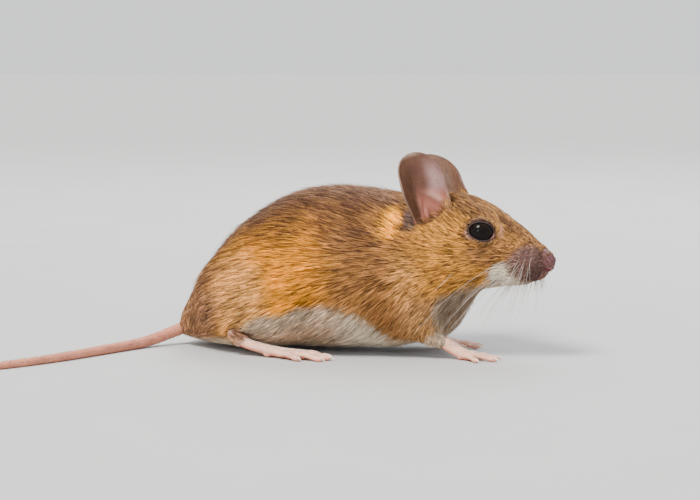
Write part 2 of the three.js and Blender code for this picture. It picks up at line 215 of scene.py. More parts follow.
def smooth_line(knots, places):
    """Points on a centripetal Catmull-Rom curve; places run from 0 to 1 evenly over the knots."""
    knots = np.asarray(knots, float)
    padded = np.vstack([2 * knots[0] - knots[1], knots, 2 * knots[-1] - knots[-2]])
    along = np.clip(np.asarray(places, float), 0, 1) * (len(knots) - 1)
    first = np.minimum(along.astype(int), len(knots) - 2)
    share = (along - first)[:, None]
    p0, p1, p2, p3 = (padded[first + k] for k in range(4))
    pairs = ((p0, p1), (p1, p2), (p2, p3))
    gap = [np.maximum(np.linalg.norm(b - a, axis=1, keepdims=True) ** 0.5, 1e-6) for a, b in pairs]
    t1 = gap[0]
    t2 = t1 + gap[1]
    t3 = t2 + gap[2]
    t = t1 + share * gap[1]
    a1 = mix(p0, p1, t / t1)
    a2 = mix(p1, p2, (t - t1) / (t2 - t1))
    a3 = mix(p2, p3, (t - t2) / (t3 - t2))
    b1 = mix(a1, a2, t / t2)
    b2 = mix(a2, a3, (t - t1) / (t3 - t1))
    return mix(b1, b2, (t - t1) / (t2 - t1))


def running_length(line):
    """How far along a line each of its points lies."""
    return np.concatenate([[0], np.cumsum(np.linalg.norm(np.diff(line, axis=0), axis=1))])


def place_tree(points, kept):
    """A tree that finds the nearest of the kept points and gives their numbers."""
    tree = KDTree(len(kept))
    for index in kept:
        tree.insert(points[index], int(index))
    tree.balance()
    return tree


# ---- meshes


def placed(name, data):
    """A new object in the scene with this mesh, light or camera."""
    thing = bpy.data.objects.new(name, data)
    bpy.context.scene.collection.objects.link(thing)
    return thing


def mesh_piece(name, points, faces):
    """A new object with this mesh. faces is a list of arrays, each with one row of corners to a face."""
    mesh = bpy.data.meshes.new(name)
    mesh.vertices.add(len(points))
    mesh.vertices.foreach_set("co", np.asarray(points, np.float32).ravel())
    corners = np.concatenate([np.asarray(group, np.int32).ravel() for group in faces])
    sizes = np.concatenate([np.full(len(group), np.shape(group)[1], np.int32) for group in faces])
    mesh.loops.add(len(corners))
    mesh.loops.foreach_set("vertex_index", corners)
    mesh.polygons.add(len(sizes))
    mesh.polygons.foreach_set("loop_start", np.cumsum(sizes) - sizes)
    mesh.update(calc_edges=True)
    return placed(name, mesh)


def read(items, label, width, kind=np.float32):
    """The values that a mesh's items have under a label, in rows of this width."""
    values = np.empty(len(items) * width, kind)
    items.foreach_get(label, values)
    return values.reshape(-1, width)


def points_of(piece):
    return read(piece.data.vertices, "co", 3).astype(float)


def set_points(piece, points):
    piece.data.vertices.foreach_set("co", np.asarray(points, np.float32).ravel())
    piece.data.update()


def normals_of(piece):
    return read(piece.data.vertex_normals, "vector", 3).astype(float)


def edges_of(piece):
    return read(piece.data.edges, "vertices", 2, np.int32)


def triangles_of(piece):
    piece.data.calc_loop_triangles()
    return read(piece.data.loop_triangles, "vertices", 3, np.int32)


def neighbour_mean(values, edges):
    size = len(values)
    count = np.maximum(np.bincount(edges.ravel(), minlength=size), 1)[:, None]
    first, second = edges.T
    total = [
        np.bincount(first, column[second], size) + np.bincount(second, column[first], size)
        for column in values.reshape(size, -1).T
    ]
    return np.stack(total, 1) / count


def relax(values, edges, passes, weight=0.5):
    """Each value moves towards the mean of its neighbours, again and again."""
    shape = values.shape
    values = values.reshape(len(values), -1)
    weight = np.broadcast_to(np.asarray(weight, float).reshape(-1, 1), (len(values), 1))
    for _ in range(passes):
        values = values + weight * (neighbour_mean(values, edges) - values)
    return values.reshape(shape)


def choose(piece):
    """Makes this piece the only one selected, and the active one."""
    bpy.ops.object.select_all(action="DESELECT")
    piece.select_set(True)
    bpy.context.view_layer.objects.active = piece


def with_modifier(piece, kind, **settings):
    choose(piece)
    modifier = piece.modifiers.new(kind.lower(), kind)
    for name, value in settings.items():
        setattr(modifier, name, value)
    bpy.ops.object.modifier_apply(modifier=modifier.name)
    return piece


def shade_smooth(piece):
    piece.data.polygons.foreach_set("use_smooth", np.ones(len(piece.data.polygons), bool))
    piece.data.update()


def keep_outer_shell(piece):
    """Deletes all that isn't joined to the highest point, such as the walls of a closed pocket."""
    points, edges = points_of(piece), edges_of(piece)
    reached = np.zeros(len(points), bool)
    reached[np.argmax(points[:, 2])] = True
    while True:
        touched = reached[edges].any(axis=1)
        grown = reached.copy()
        grown[edges[touched].ravel()] = True
        if (grown == reached).all():
            break
        reached = grown
    shell = bmesh.new()
    shell.from_mesh(piece.data)
    shell.verts.ensure_lookup_table()
    bmesh.ops.delete(shell, geom=[shell.verts[i] for i in np.flatnonzero(~reached)], context="VERTS")
    shell.to_mesh(piece.data)
    shell.free()
    piece.data.update()


def joined(name, solids):
    """One object from several closed meshes, each a list of points and a list of faces."""
    points, faces, start = [], [], 0
    for solid_points, solid_faces in solids:
        points.append(solid_points)
        faces += [group + start for group in solid_faces]
        start += len(solid_points)
    return mesh_piece(name, np.vstack(points), faces)


def ring_faces(rings, sides, start=0):
    """Squares between rings of points, counted from start."""
    ring, side = np.meshgrid(np.arange(rings - 1), np.arange(sides), indexing="ij")
    ring, side = ring.ravel(), side.ravel()
    after = (side + 1) % sides
    low, high = start + ring * sides, start + (ring + 1) * sides
    return np.stack([low + side, low + after, high + after, high + side], 1)


def capped_faces(rings, sides):
    """Faces of a closed shape that has a first point, rings of points, and a last point."""
    side = np.arange(sides)
    after = (side + 1) % sides
    last = rings * sides + 1
    first_cap = np.stack([np.zeros(sides, int), 1 + after, 1 + side], 1)
    last_cap = np.stack([last - sides + side, last - sides + after, np.full(sides, last)], 1)
    return [ring_faces(rings, sides, 1), first_cap, last_cap]


def tube(path, widths, heights, sides, domed=True):
    """A closed oval tube along a path, with half widths and half heights at each point."""
    path = np.asarray(path, float)
    tangent = unit(np.gradient(path, axis=0))
    across = unit(np.stack([-tangent[:, 1], tangent[:, 0], np.zeros(len(path))], 1))
    upward = np.cross(tangent, across)
    angles = 2 * math.pi * np.arange(sides) / sides

    def ring(index, shrink, slide):
        centre = path[index] + tangent[index] * slide
        wide = np.cos(angles)[:, None] * across[index] * widths[index] * shrink
        return centre + wide + np.sin(angles)[:, None] * upward[index] * heights[index] * shrink

    rings = [ring(index, 1, 0) for index in range(len(path))]
    bulge = [min(widths[k], heights[k]) if domed else 0 for k in (0, -1)]
    if domed:
        lean = [(0.45, 0.88), (0.8, 0.6)]
        rings = [ring(0, shrink, -bulge[0] * slide) for shrink, slide in lean] + rings
        rings += [ring(-1, shrink, bulge[1] * slide) for shrink, slide in lean[::-1]]
    start, end = path[0] - tangent[0] * bulge[0], path[-1] + tangent[-1] * bulge[1]
    return np.vstack([start, *rings, end]), capped_faces(len(rings), sides)


# ---- materials


def put(tree, kind, inputs=None, **settings):
    """A new node; inputs gives the value or the source of each socket, by name or number."""
    node = tree.nodes.new(kind)
    for name, value in settings.items():
        setattr(node, name, value)
    for key, value in (inputs or {}).items():
        if isinstance(value, bpy.types.NodeSocket):
            tree.links.new(value, node.inputs[key])
        else:
            node.inputs[key].default_value = value
    return node


def blend(tree, share, first, second, blend_type="MIX"):
    """The colour between two colours."""
    inputs = {0: share, 6: first, 7: second}
    return put(tree, "ShaderNodeMix", inputs, data_type="RGBA", blend_type=blend_type).outputs[2]


def sum_up(tree, operation, first, second=0.0):
    return put(tree, "ShaderNodeMath", {0: first, 1: second}, operation=operation).outputs[0]


def times(tree, first, second):
    return sum_up(tree, "MULTIPLY", first, second)


def plus(tree, first, second):
    return sum_up(tree, "ADD", first, second)


def grey(tree, value):
    return put(tree, "ShaderNodeCombineColor", {0: value, 1: value, 2: value}).outputs[0]


def object_place(tree):
    return put(tree, "ShaderNodeTexCoord").outputs["Object"]


def span(tree, value, low, high, new_low=0.0, new_high=1.0):
    """value from low to high, eased on to new_low to new_high."""
    inputs = {"Value": value, "From Min": low, "From Max": high, "To Min": new_low, "To Max": new_high}
    return put(tree, "ShaderNodeMapRange", inputs, interpolation_type="SMOOTHSTEP").outputs[0]


def noise(tree, place, scale, detail=2.0, roughness=0.5):
    inputs = {"Vector": place, "Scale": scale, "Detail": detail, "Roughness": roughness}
    return put(tree, "ShaderNodeTexNoise", inputs).outputs["Fac"]


def attribute(tree, name, output="Fac"):
    return put(tree, "ShaderNodeAttribute", attribute_name=name).outputs[output]


def opened(colour):
    return (*colour, 1.0)


def new_material(name):
    material = bpy.data.materials.new(name)
    material.use_nodes = True
    material.node_tree.nodes.clear()
    return material, material.node_tree


def finish_material(tree, inputs):
    surface = put(tree, "ShaderNodeBsdfPrincipled", inputs)
    put(tree, "ShaderNodeOutputMaterial", {"Surface": surface.outputs[0]})


def clouded_material(name, grain, colours, share, roughness, specular=0.5):
    """A material whose colour and roughness drift between two values, over noise of this grain."""
    material, tree = new_material(name)
    cloud = noise(tree, object_place(tree), *grain)
    colour = blend(tree, span(tree, cloud, *share), *colours)
    rough = span(tree, cloud, 0.3, 0.7, *roughness)
    finish_material(tree, {"Base Color": colour, "Roughness": rough, "Specular IOR Level": specular})
    return material


# What each tuft carries besides its tone: its way from root to tip, two chances, its share of dark hairs
# and how pale it is.
HAIR_VALUES = ("along", "chance", "lock", "ticked", "pale")
COAT_SPECULAR = 0.09


def group_tree(name, inputs, outputs):
    """An empty node group with its sockets, whose kinds are given by name."""
    tree = bpy.data.node_groups.new(name, "ShaderNodeTree")
    for way, sockets in (("INPUT", inputs), ("OUTPUT", outputs)):
        for label, kind in sockets.items():
            tree.interface.new_socket(label, in_out=way, socket_type=f"NodeSocket{kind}")
    return tree, tree.nodes.new("NodeGroupInput").outputs, tree.nodes.new("NodeGroupOutput")


def agouti_group():
    """Colour along a hair: slate at the root, partly the underfur's own colour and partly painted shade deep
    in the coat, then the coat's own tone, and a dark tip on some hairs.
    """
    known = bpy.data.node_groups.get("agouti_bands")
    if known:
        return known
    colours = bpy.context.scene.mouse_coat_colours
    inputs = {"Tone": "Color", "Place": "Vector", **{name.capitalize(): "Float" for name in HAIR_VALUES}}
    outputs = {"Color": "Color", "Roughness": "Float"}
    tree, given, result = group_tree("agouti_bands", inputs, outputs)
    along, pale, lock = given["Along"], given["Pale"], given["Lock"]
    # Three values that differ from lock to lock and a little from hair to hair.
    draws = []
    for of_lock, of_hair in ((17.31, 0.35), (0.0, 7.9), (53.77, 0.5)):
        mixed = plus(tree, times(tree, given["Chance"], of_hair), times(tree, lock, of_lock))
        draws.append(sum_up(tree, "FRACT", mixed))
    for_dark, for_light, for_straw = draws
    mottle = noise(tree, given["Place"], 240.0, 3.0)
    patch = noise(tree, given["Place"], 75.0, 2.0)
    spread = sum_up(tree, "SUBTRACT", span(tree, lock, 0.0, 1.0, 0.5, 1.56), 1.0)
    light = plus(tree, times(tree, spread, span(tree, pale, 0.0, 1.0, 1.0, 0.35)), 1.0)
    light = times(tree, light, span(tree, for_light, 0.0, 1.0, 0.78, 1.22))
    light = times(tree, light, span(tree, mottle, 0.3, 0.7, 0.86, 1.14))
    light = times(tree, light, span(tree, patch, 0.3, 0.7, 0.92, 1.08))
    lit = blend(tree, 1.0, given["Tone"], grey(tree, light), "MULTIPLY")
    fair = times(tree, span(tree, for_straw, 0.7, 1.0), span(tree, along, 0.3, 0.9))
    fair = times(tree, times(tree, fair, sum_up(tree, "SUBTRACT", 1.0, pale)), 0.4)
    straw = blend(tree, fair, lit, opened(colours.straw))
    edges = [plus(tree, given["Ticked"], shift) for shift in (0.06, -0.06)]
    tip = times(tree, span(tree, for_dark, *edges), span(tree, along, 0.25, 0.8, 0.45, 0.92))
    banded = blend(tree, tip, straw, opened(colours.dark))
    # Dark root: the underfur's slate and painted shade deep in the coat; pale hair keeps more of its own tone
    # there.
    root = blend(tree, span(tree, pale, 0.6, 1.0, 0.0, 0.75), opened(colours.root), given["Tone"])
    banded = blend(tree, span(tree, along, 0.08, 0.5), root, banded)
    tree.links.new(banded, result.inputs["Color"])
    tree.links.new(span(tree, for_light, 0.0, 1.0, 0.5, 0.75), result.inputs["Roughness"])
    return tree


def coat_material():
    known = bpy.data.materials.get("mouse_coat")
    if known:
        return known
    material, tree = new_material("mouse_coat")
    inputs = {name.capitalize(): attribute(tree, name) for name in HAIR_VALUES}
    inputs.update({"Tone": attribute(tree, "tone", "Color"), "Place": object_place(tree)})
    hair = put(tree, "ShaderNodeGroup", inputs, node_tree=agouti_group()).outputs
    finish_material(
        tree,
        {"Base Color": hair["Color"], "Roughness": hair["Roughness"], "Specular IOR Level": COAT_SPECULAR},
    )
    return material


def skin_material(colours):
    """Bare skin on ears, nose, lids, feet and tail, and the dark underfur where the coat grows, partly
    painted shade under the coat.
    """
    material, tree = new_material("mouse_skin")
    place = object_place(tree)
    tone = attribute(tree, "tone", "Color")
    bare = attribute(tree, "bare")
    grain = noise(tree, place, 2600.0, 3.0, 0.6)
    blotch = noise(tree, place, 420.0, 3.0)
    combed = put(tree, "ShaderNodeMapping", {"Vector": place, "Scale": (1.0, 3.0, 3.0)}).outputs[0]
    down = noise(tree, combed, 1500.0, 2.0)
    shade = span(tree, blotch, 0.25, 0.75, 0.86, 1.14)
    shade = times(tree, shade, span(tree, grain, 0.2, 0.8, 0.9, 1.1))
    lit = blend(tree, 1.0, tone, grey(tree, shade), "MULTIPLY")
    # Under the coat the skin takes the root's slate, partly underfur and partly painted shade.
    under = blend(tree, span(tree, down, 0.35, 0.65, 0.45, 0.8), tone, opened(colours.root))
    rings = sum_up(tree, "SINE", times(tree, attribute(tree, "ring_run"), 2 * math.pi / TAIL_RING))
    height = plus(tree, times(tree, rings, attribute(tree, "ringed")), grain)
    bump = put(tree, "ShaderNodeBump", {"Strength": 0.5, "Distance": 0.00008, "Height": height})
    roughness = plus(tree, span(tree, bare, 0.0, 1.0, 0.85, 0.48), times(tree, grain, 0.12))
    finish_material(
        tree,
        {
            "Base Color": blend(tree, bare, under, lit),
            "Roughness": roughness,
            "Normal": bump.outputs[0],
            "Subsurface Weight": 0.12,
            "Subsurface Radius": (0.0012, 0.0005, 0.0003),
            "Subsurface Scale": 1.0,
            "Specular IOR Level": 0.28,
        },
    )
    return material


# ---- what a user would change


def colour_property(name, description, default):
    limits = {"min": 0, "max": 1}
    return FloatVectorProperty(name=name, description=description, default=default, subtype="COLOR", **limits)


def number_property(name, description, default, **kind):
    return FloatProperty(name=name, description=description, default=default, min=0, **kind)


def length_property(name, description, millimetres):
    return number_property(name, description, millimetres * MM, subtype="DISTANCE", unit="LENGTH")


def angle_property(name, description, degrees):
    return FloatProperty(name=name, description=description, default=math.radians(degrees), subtype="ANGLE")


def count_property(name, description, default, least):
    return IntProperty(name=name, description=description, default=default, min=least)


class MouseCoatSizes(bpy.types.PropertyGroup):
    depth_back: length_property("Depth on the back", "How deep the coat lies on the back", 1.7)
    depth_head: length_property("Depth on the head", "How deep the coat lies on the cheeks and crown", 0.75)
    depth_muzzle: length_property("Depth on the muzzle", "How deep the coat lies beside the nose", 0.28)
    length_back: length_property("Hair on the back", "Length of a tuft on the back", 4.6)
    length_head: length_property("Hair on the head", "Length of a tuft on the cheek", 2.4)
    length_muzzle: length_property("Hair on the muzzle", "Length of a tuft beside the nose", 0.95)
    width_back: length_property("Tuft width on the back", "Widest part of a tuft on the back", 0.165)
    width_head: length_property("Tuft width on the head", "Widest part of a tuft on the cheek", 0.13)
    tufts_back: number_property("Tufts on the back", "Tufts to a square millimetre", 20)
    tufts_head: number_property("Tufts on the head", "Tufts to a square millimetre", 28)
    clump: number_property("Clumping", "How far tips draw together", 0.5, max=1, subtype="FACTOR")


class MouseCoatColours(bpy.types.PropertyGroup):
    # Partly the underfur's own slate and partly painted shade deep in the coat.
    root: colour_property("Hair root", "Slate colour at the root of every hair", (0.045, 0.03, 0.022))
    # Also laid as painted shade over the throat and above each heel.
    dark: colour_property("Dark hair", "Tips of the dark hairs", (0.075, 0.038, 0.031))
    straw: colour_property("Straw hair", "Tips of the lightest hairs", (1.0, 0.52, 0.09))
    flank: colour_property("Flank", "Golden brown of the sides", (1.0, 0.415, 0.02))
    crest: colour_property("Crest", "Greyest hair, along the middle of the back", (0.2, 0.128, 0.1))
    back: colour_property("Back", "Darker brown along the back", (0.195, 0.092, 0.052))
    rump: colour_property("Rump", "Greyer brown above the tail", (0.44, 0.232, 0.14))
    # Also laid as a painted highlight on the side of the neck.
    haunch: colour_property("Haunch", "Peach tone over the thigh", (1.0, 0.53, 0.175))
    shoulder: colour_property("Shoulder", "Browner tone of the shoulder", (0.34, 0.163, 0.072))
    chest: colour_property("Chest", "Brown of chest and upper foreleg", (0.54, 0.285, 0.11))
    cheek: colour_property("Cheek", "Golden brown of the face", (0.66, 0.305, 0.056))
    crown: colour_property("Crown", "Grey brown of the crown and bridge", (0.35, 0.175, 0.064))
    ear_patch: colour_property("Patch behind the ear", "Straw yellow behind the ear", (1.0, 0.46, 0.035))
    # Grey violet painted shade in the hollow under and behind the ear; the coat round each eye takes the same
    # colour in a ring.
    ear_shade_and_eye_ring: colour_property("Hollow under the ear", "Grey violet hollow under the ear", (0.1, 0.075, 0.08))
    underside: colour_property("Underside", "White grey of the belly and throat", (0.67, 0.52, 0.365))
    # Also laid as painted light over the front of the belly.
    lip: colour_property("Lip", "White of the upper lip", (1.0, 0.89, 0.7))
    pad: colour_property("Whisker pad", "Mauve pink hairs of the whisker pad", (0.42, 0.22, 0.175))


class MouseFleshColours(bpy.types.PropertyGroup):
    ear_rear: colour_property("Ear rear", "Brown of the ear's rear strip and back", (0.115, 0.052, 0.03))
    ear_middle: colour_property("Ear middle", "Pink brown inside the ear", (0.12, 0.05, 0.034))
    # Painted highlight on the pale front wall inside the ear.
    ear_front_highlight: colour_property("Ear front", "Pale front wall inside the ear", (0.33, 0.2, 0.19))
    ear_base: colour_property("Ear base", "Pink folds at the ear's root", (0.4, 0.14, 0.1))
    # Pale tone of the ear's rim, also laid as a painted highlight on the raised folds low inside the ear.
    ear_rim_and_fold_highlight: colour_property("Ear rim", "Pale edge of the ear", (0.45, 0.33, 0.25))
    pad_skin: colour_property("Whisker pad skin", "Dark mauve under the pad's hairs", (0.045, 0.017, 0.015))
    nose: colour_property("Nose", "Mauve pink of the nose pad", (0.11, 0.042, 0.042))
    nostril: colour_property("Nostril", "Dark red inside the nostrils", (0.09, 0.01, 0.01))
    lid: colour_property("Eyelid", "Violet grey of the eyelids", (0.05, 0.037, 0.045))
    corner: colour_property("Eye corner", "Pink of the eye's front corner", (0.36, 0.17, 0.14))
    foot: colour_property("Foot", "Pale pink of the feet", (0.8, 0.44, 0.31))
    # The pads' own red, also laid as painted shade over the feet's undersides and low towards the floor.
    pad: colour_property("Foot pad", "Redder pads under the toes", (0.62, 0.2, 0.12))
    tail: colour_property("Tail", "Pink mauve of the tail", (0.58, 0.22, 0.14))
    claw: colour_property("Claw", "Pale horn of the claws", (0.72, 0.55, 0.42))
    eye: colour_property("Eye", "Near black of the eyes", (0.004, 0.003, 0.003))


class MouseWhiskerSizes(bpy.types.PropertyGroup):
    shortest: length_property("Shortest", "Length of the whiskers nearest the nose", 8)
    longest: length_property("Longest", "Length of the rearmost whiskers", 22)
    radius: length_property("Radius", "Radius of a whisker at its root", 0.042)
    rows: count_property("Rows", "Rows of whiskers on each side", 5, 1)
    fringe: count_property("Lip hairs", "Short hairs hanging from each side of the lips", 26, 0)


class MouseStudioSettings(bpy.types.PropertyGroup):
    distance: length_property("Camera distance", "From the camera to the mouse", 397)
    azimuth: angle_property("Camera azimuth", "Round the mouse", 14)
    elevation: angle_property("Camera elevation", "Above level", 6)
    lens: number_property("Lens", "Focal length in millimetres on a 36 mm frame", 100)
    aim: length_property("Aim height", "Height above the floor that the camera looks at", 20.5)
    sun: number_property("Main light", "Strength of the soft main light", 5.7)
    fill: number_property("Fill light", "Power of the light that softens shadows", 0.7, subtype="POWER")
    rim: number_property("Rim light", "Power of the light from behind", 2.6, subtype="POWER")
    sky: number_property("Room light", "Strength of the even light all round", 1.15)


# ---- the eye's surroundings


def eye_axes(side):
    """The eye's centre and its directions out of the head, forwards and upwards."""
    flip = np.array([1, side, 1])
    out = unit(GAZE * flip)
    ahead = np.array([1.0, 0, -0.1])
    ahead = unit(ahead - out * (ahead @ out))
    upward = np.cross(out, ahead) * side
    upward = upward * math.copysign(1, upward[2])
    return EYE * flip, out, ahead, upward


def eye_distance(points):
    """1 on the edge of the nearer eye's opening, less inside it, and large on the eye's far side."""
    nearest = np.full(len(points), 9.0)
    for side in SIDES.values():
        centre, out, ahead, upward = eye_axes(side)
        offset = points - centre
        oval = np.hypot(offset @ ahead / LID_OPENING[0], offset @ upward / LID_OPENING[1])
        nearest = np.minimum(nearest, np.where(offset @ out > -1.5, oval, 9.0))
    return nearest


def nose_distance(points):
    """1 on the oval of the nose's ball, less inside it."""
    return np.linalg.norm((points - NOSE) / NOSE_HALF, axis=1)


def round_the_eyes(points):
    """Shapes lids over the eyeballs: hidden behind the ball inside the opening, a thin rim round it."""
    for side in SIDES.values():
        centre, out, ahead, upward = eye_axes(side)
        offset = points - centre
        along, over, height = offset @ ahead, offset @ upward, offset @ out
        oval = np.hypot(along / LID_OPENING[0], over / LID_OPENING[1])
        near = (oval < 2.4) & (height > -1.6)
        flat = along**2 + over**2
        ball = np.sqrt(np.maximum(EYE_RADIUS**2 - flat, 0.0))
        lid = np.sqrt(np.maximum((EYE_RADIUS + LID_THICKNESS) ** 2 - flat, 0.0))
        lid = np.maximum(lid, LID_LOWEST)
        inside = np.minimum(ball - LID_LOWEST, lid)
        target = mix(inside, lid, ease(0.95, 1.03, oval))
        furrow = LID_FURROW * bell((oval - 1.36) / 0.12)
        target = mix(target, height, ease(1.14, 1.75, oval)) - furrow
        points = np.where(near[:, None], points + out * (target - height)[:, None], points)
    return points


# ---- nose, mouth and whisker pads


# Height of the top row of whiskers, how far along X its first one stands, the drop from row to row, and
# the least height of a whisker over the floor.
WHISKER_TOP = 21.0
WHISKER_FRONT = 39.4
ROW_GAP = 0.98
WHISKER_LOWEST = 0.3


def whisker_roots():
    """Places of the whiskers on a pad, each with its row and its share from front to back."""
    roots = []
    rows = bpy.context.scene.mouse_whiskers.rows
    for row in range(rows):
        height = WHISKER_TOP - ROW_GAP * row
        count = 5 if row in (0, rows - 1) else 6
        for place in range(count):
            share = place / (count - 1)
            reach = WHISKER_FRONT - 4.2 * share - 0.3 * row * (1 - share)
            roots.append((reach, height - 0.5 * share, row, share))
    return roots


def ear_opening_share(points):
    """1 in the hollow of the head in front of each ear's root, a slanting oval."""
    x, z = points[:, 0] - 19.7, points[:, 2] - 28.9
    lengthwise, across = 0.73 * x + 0.68 * z, -0.68 * x + 0.73 * z
    oval = np.hypot(lengthwise / 3.0, across / 1.6)
    return ease(1.25, 0.8, oval) * ease(3.5, 5.0, np.abs(points[:, 1]))


def whisker_pad_share(points):
    """1 over the swollen end of the muzzle, between nose and cheek."""
    x, y, z = points.T
    swollen = ease(1.12, 0.86, np.hypot((x - 39.7) / 4.5, (z - 19.3) / 3.6))
    return swollen * np.maximum(ease(0.9, 2.3, np.abs(y)), ease(40.6, 41.4, x))


# Swellings of the nose's ball and the lip under it: height, and place and reach along X and Z.
NOSE_SWELLINGS = [
    (0.3, (42.6, 20.5), (1.3, 1.5)),
    (0.6, (42.4, 18.4), (1.3, 1.3)),
    (0.45, (41.6, 16.9), (1.1, 0.9)),
]


def sculpt_muzzle(points, normals):
    """Nostrils, the groove under the nose, the mouth's line, and a small mound under each whisker."""
    x, y, z = points.T
    side = np.abs(y)
    push = np.zeros(len(points))
    for height, place, reach in NOSE_SWELLINGS:
        push += height * bell((x - place[0]) / reach[0], (z - place[1]) / reach[1])
    push += 0.55 * bell((x - 40.6) / 1.5, (z - 20.0) / 1.9) * ease(0.5, 1.4, side)
    nostril = np.hypot(np.hypot((x - 42.3) / 0.6, (side - 1.15) / 0.38), (z - 18.3) / 0.36)
    wing = np.hypot(np.hypot((x - 41.5) / 0.7, (side - 1.6) / 0.3), (z - 18.6) / 0.22)
    push -= 0.7 * bell(nostril) + 0.4 * bell(wing)
    push += 0.16 * bell((nostril - 1.75) / 0.5) * ease(40.6, 41.6, x)
    groove = bell(y / 0.2) * ease(39.2, 40.6, x) * ease(21.4, 20.2, z)
    push -= 0.42 * groove
    push -= 0.14 * bell((nose_distance(points) - 1.22) / 0.16) * ease(38.6, 39.8, x)
    line = MOUTH["height"] + 0.25 * ease(34, 30, x) - 0.35 * ease(36.5, 38.6, x)
    lips = bell((z - line) / 0.26) * ease(MOUTH["back"], MOUTH["back"] + 1.6, x)
    push -= 0.55 * lips
    push += 0.2 * bell((z - line - 0.75) / 0.4) * ease(33, 36, x)
    push += 0.25 * bell((x - 40.9) / 1.3, (z - 21.9) / 1.0)
    pad = whisker_pad_share(points)
    push += 0.3 * pad * ease(41.2, 40.2, x) * ease(1.0, 2.0, side)
    push += 0.08 * ripples(points, 0.75, 8) * np.maximum(pad, ease(1.5, 1.2, nose_distance(points)))
    for root_x, root_z, _, _ in whisker_roots():
        push += 0.13 * (np.exp(-(((x - root_x) ** 2 + (z - root_z) ** 2) / 0.3**2)) * ease(1.2, 2.2, side))
    push -= 1.3 * ear_opening_share(points)
    return points + normals * push[:, None]


# ---- ears


def ear_axes(name):
    """Directions of the left ear, or of the right one before it is mirrored: up, open and across."""
    pose = EAR_POSES[name]
    up = unit(np.array([pose["lean"], pose["aside"], 0.95]))
    bearing = math.radians(pose["opening"])
    opening = np.array([math.cos(bearing), math.sin(bearing), 0.0])
    opening = unit(opening - up * (opening @ up))
    return up, opening, np.cross(up, opening)


def ear_roll(heights, rear):
    """Radius of the ear's cup and the half angle it wraps round; rear is 0 on its front half, 1 behind."""
    heights = np.clip(heights, 0, 1)
    base = mix(EAR_FRONT["base"], EAR_REAR["base"], rear)
    squareness = mix(EAR_FRONT["squareness"], EAR_REAR["squareness"], rear)
    at_root, at_tip = (mix(EAR_FRONT["radii"][k], EAR_REAR["radii"][k], rear) for k in (0, 1))
    radius = mix(at_root, at_tip, heights**0.8)
    widest = EAR_SIZE["widest"]
    swell = mix(base, 1.0, ease(0, widest, heights))
    past = np.clip((heights - widest) / (1 - widest), 0, 1)
    close = np.sqrt(np.maximum(1 - past**squareness, 0))
    return radius, EAR_SIZE["half_width"] * swell * close / radius


def ear_relief(heights, sweep):
    """Folds inside the ear, in millimetres towards its opening."""
    diagonal = sweep + 0.55 - 2.6 * (heights - 0.33)
    fold = 0.5 * bell(diagonal / 0.19) * ease(0.08, 0.2, heights) * ease(0.52, 0.38, heights)
    fold = fold * ease(-1.0, -0.8, sweep)
    rolled = 0.75 * bell((sweep + 0.12) / 0.075) * ease(0.3, 0.12, heights)
    crease = 0.42 * bell((sweep - 0.27) / 0.12) * ease(0.8, 0.45, heights)
    low = 0.35 * bell((sweep - 0.1) / 0.09) * ease(0.45, 0.3, heights)
    rim = 0.34 * ease(0.86, 1.0, np.abs(sweep)) * ease(0.9, 0.6, heights)
    veins = 0.04 * np.sin(15 * sweep + 5 * heights) * ease(0.9, 0.5, heights) * ease(0.25, 0.45, heights)
    return fold + rolled - crease + low + rim + veins


def ear_fringe(heights, sweep):
    """1 low on the ear's front edge, where the cheek's hair reaches over its foot."""
    return ease(-0.42, -0.9, sweep) * ease(0.36, 0.12, heights)


def ear_shape(name):
    """A thin cupped leaf with a rounded rim; its root is rolled up and goes into the head."""
    up, opening, across = ear_axes(name)
    rows, columns = 46, 40
    share = np.linspace(0, 1, rows) ** 0.9 * 0.998
    place = np.linspace(-1, 1, columns)
    heights, sweep = np.meshgrid(share, place, indexing="ij")
    radius, spread = ear_roll(heights, ease(-0.3, 0.3, sweep))
    angle = sweep * spread
    rise = heights * EAR_SIZE["height"] - 1.4 * (1 - heights) ** 6
    leaf = np.stack([heights.ravel() * 9, sweep.ravel() * 4, heights.ravel() * 0], 1)
    wander = 0.12 * ripples(leaf, 4.0, 5).reshape(heights.shape)
    relief = ear_relief(heights, sweep)
    rim = np.maximum(np.abs(sweep), ease(0.6, 1.0, heights))
    thickness = mix(0.5, 0.32, ease(0.4, 1.0, rim)) + 0.15 * ease(0.25, 0.0, heights)

    def sheet(offset):
        reach = radius + offset
        point = EAR_ROOT + up * rise[..., None]
        point = point + across * (np.sin(angle) * reach)[..., None]
        depth = radius - np.cos(angle) * reach - EAR_SIZE["bend"] * heights**2
        return point + opening * depth[..., None]

    inner = sheet(wander - relief)
    outer = sheet(wander + thickness - 0.5 * np.minimum(relief, 0.3))
    # Both ends of every row are drawn together round the rim.
    rounding = 0.5 * (inner[:, [0, -1]] + outer[:, [0, -1]])
    outwards = unit(inner[:, [0, -1]] - inner[:, [1, -2]])
    rounding = rounding + outwards * 0.12
    section = np.concatenate([inner, rounding[:, 1:], outer[:, ::-1], rounding[:, :1]], axis=1)
    count = section.shape[1]
    points = np.vstack([section[0].mean(0), section.reshape(-1, 3), section[-1].mean(0)])
    return points * [1, SIDES[name], 1], oriented(capped_faces(rows, count), name)


def ear_place(points, name):
    """Height share and sweep of points on an ear, as ear_shape lays them, and the depth outside its cup."""
    up, opening, across = ear_axes(name)
    offset = points * [1, SIDES[name], 1] - EAR_ROOT
    heights = np.clip(offset @ up / EAR_SIZE["height"], 0, 1)
    aside = offset @ across
    radius, spread = ear_roll(heights, ease(-1.2, 1.2, aside))
    forward = offset @ opening + EAR_SIZE["bend"] * heights**2
    angle = np.arctan2(aside, radius - forward)
    return heights, angle / np.maximum(spread, 0.05), np.hypot(aside, radius - forward) - radius


# ---- feet, claws and tail

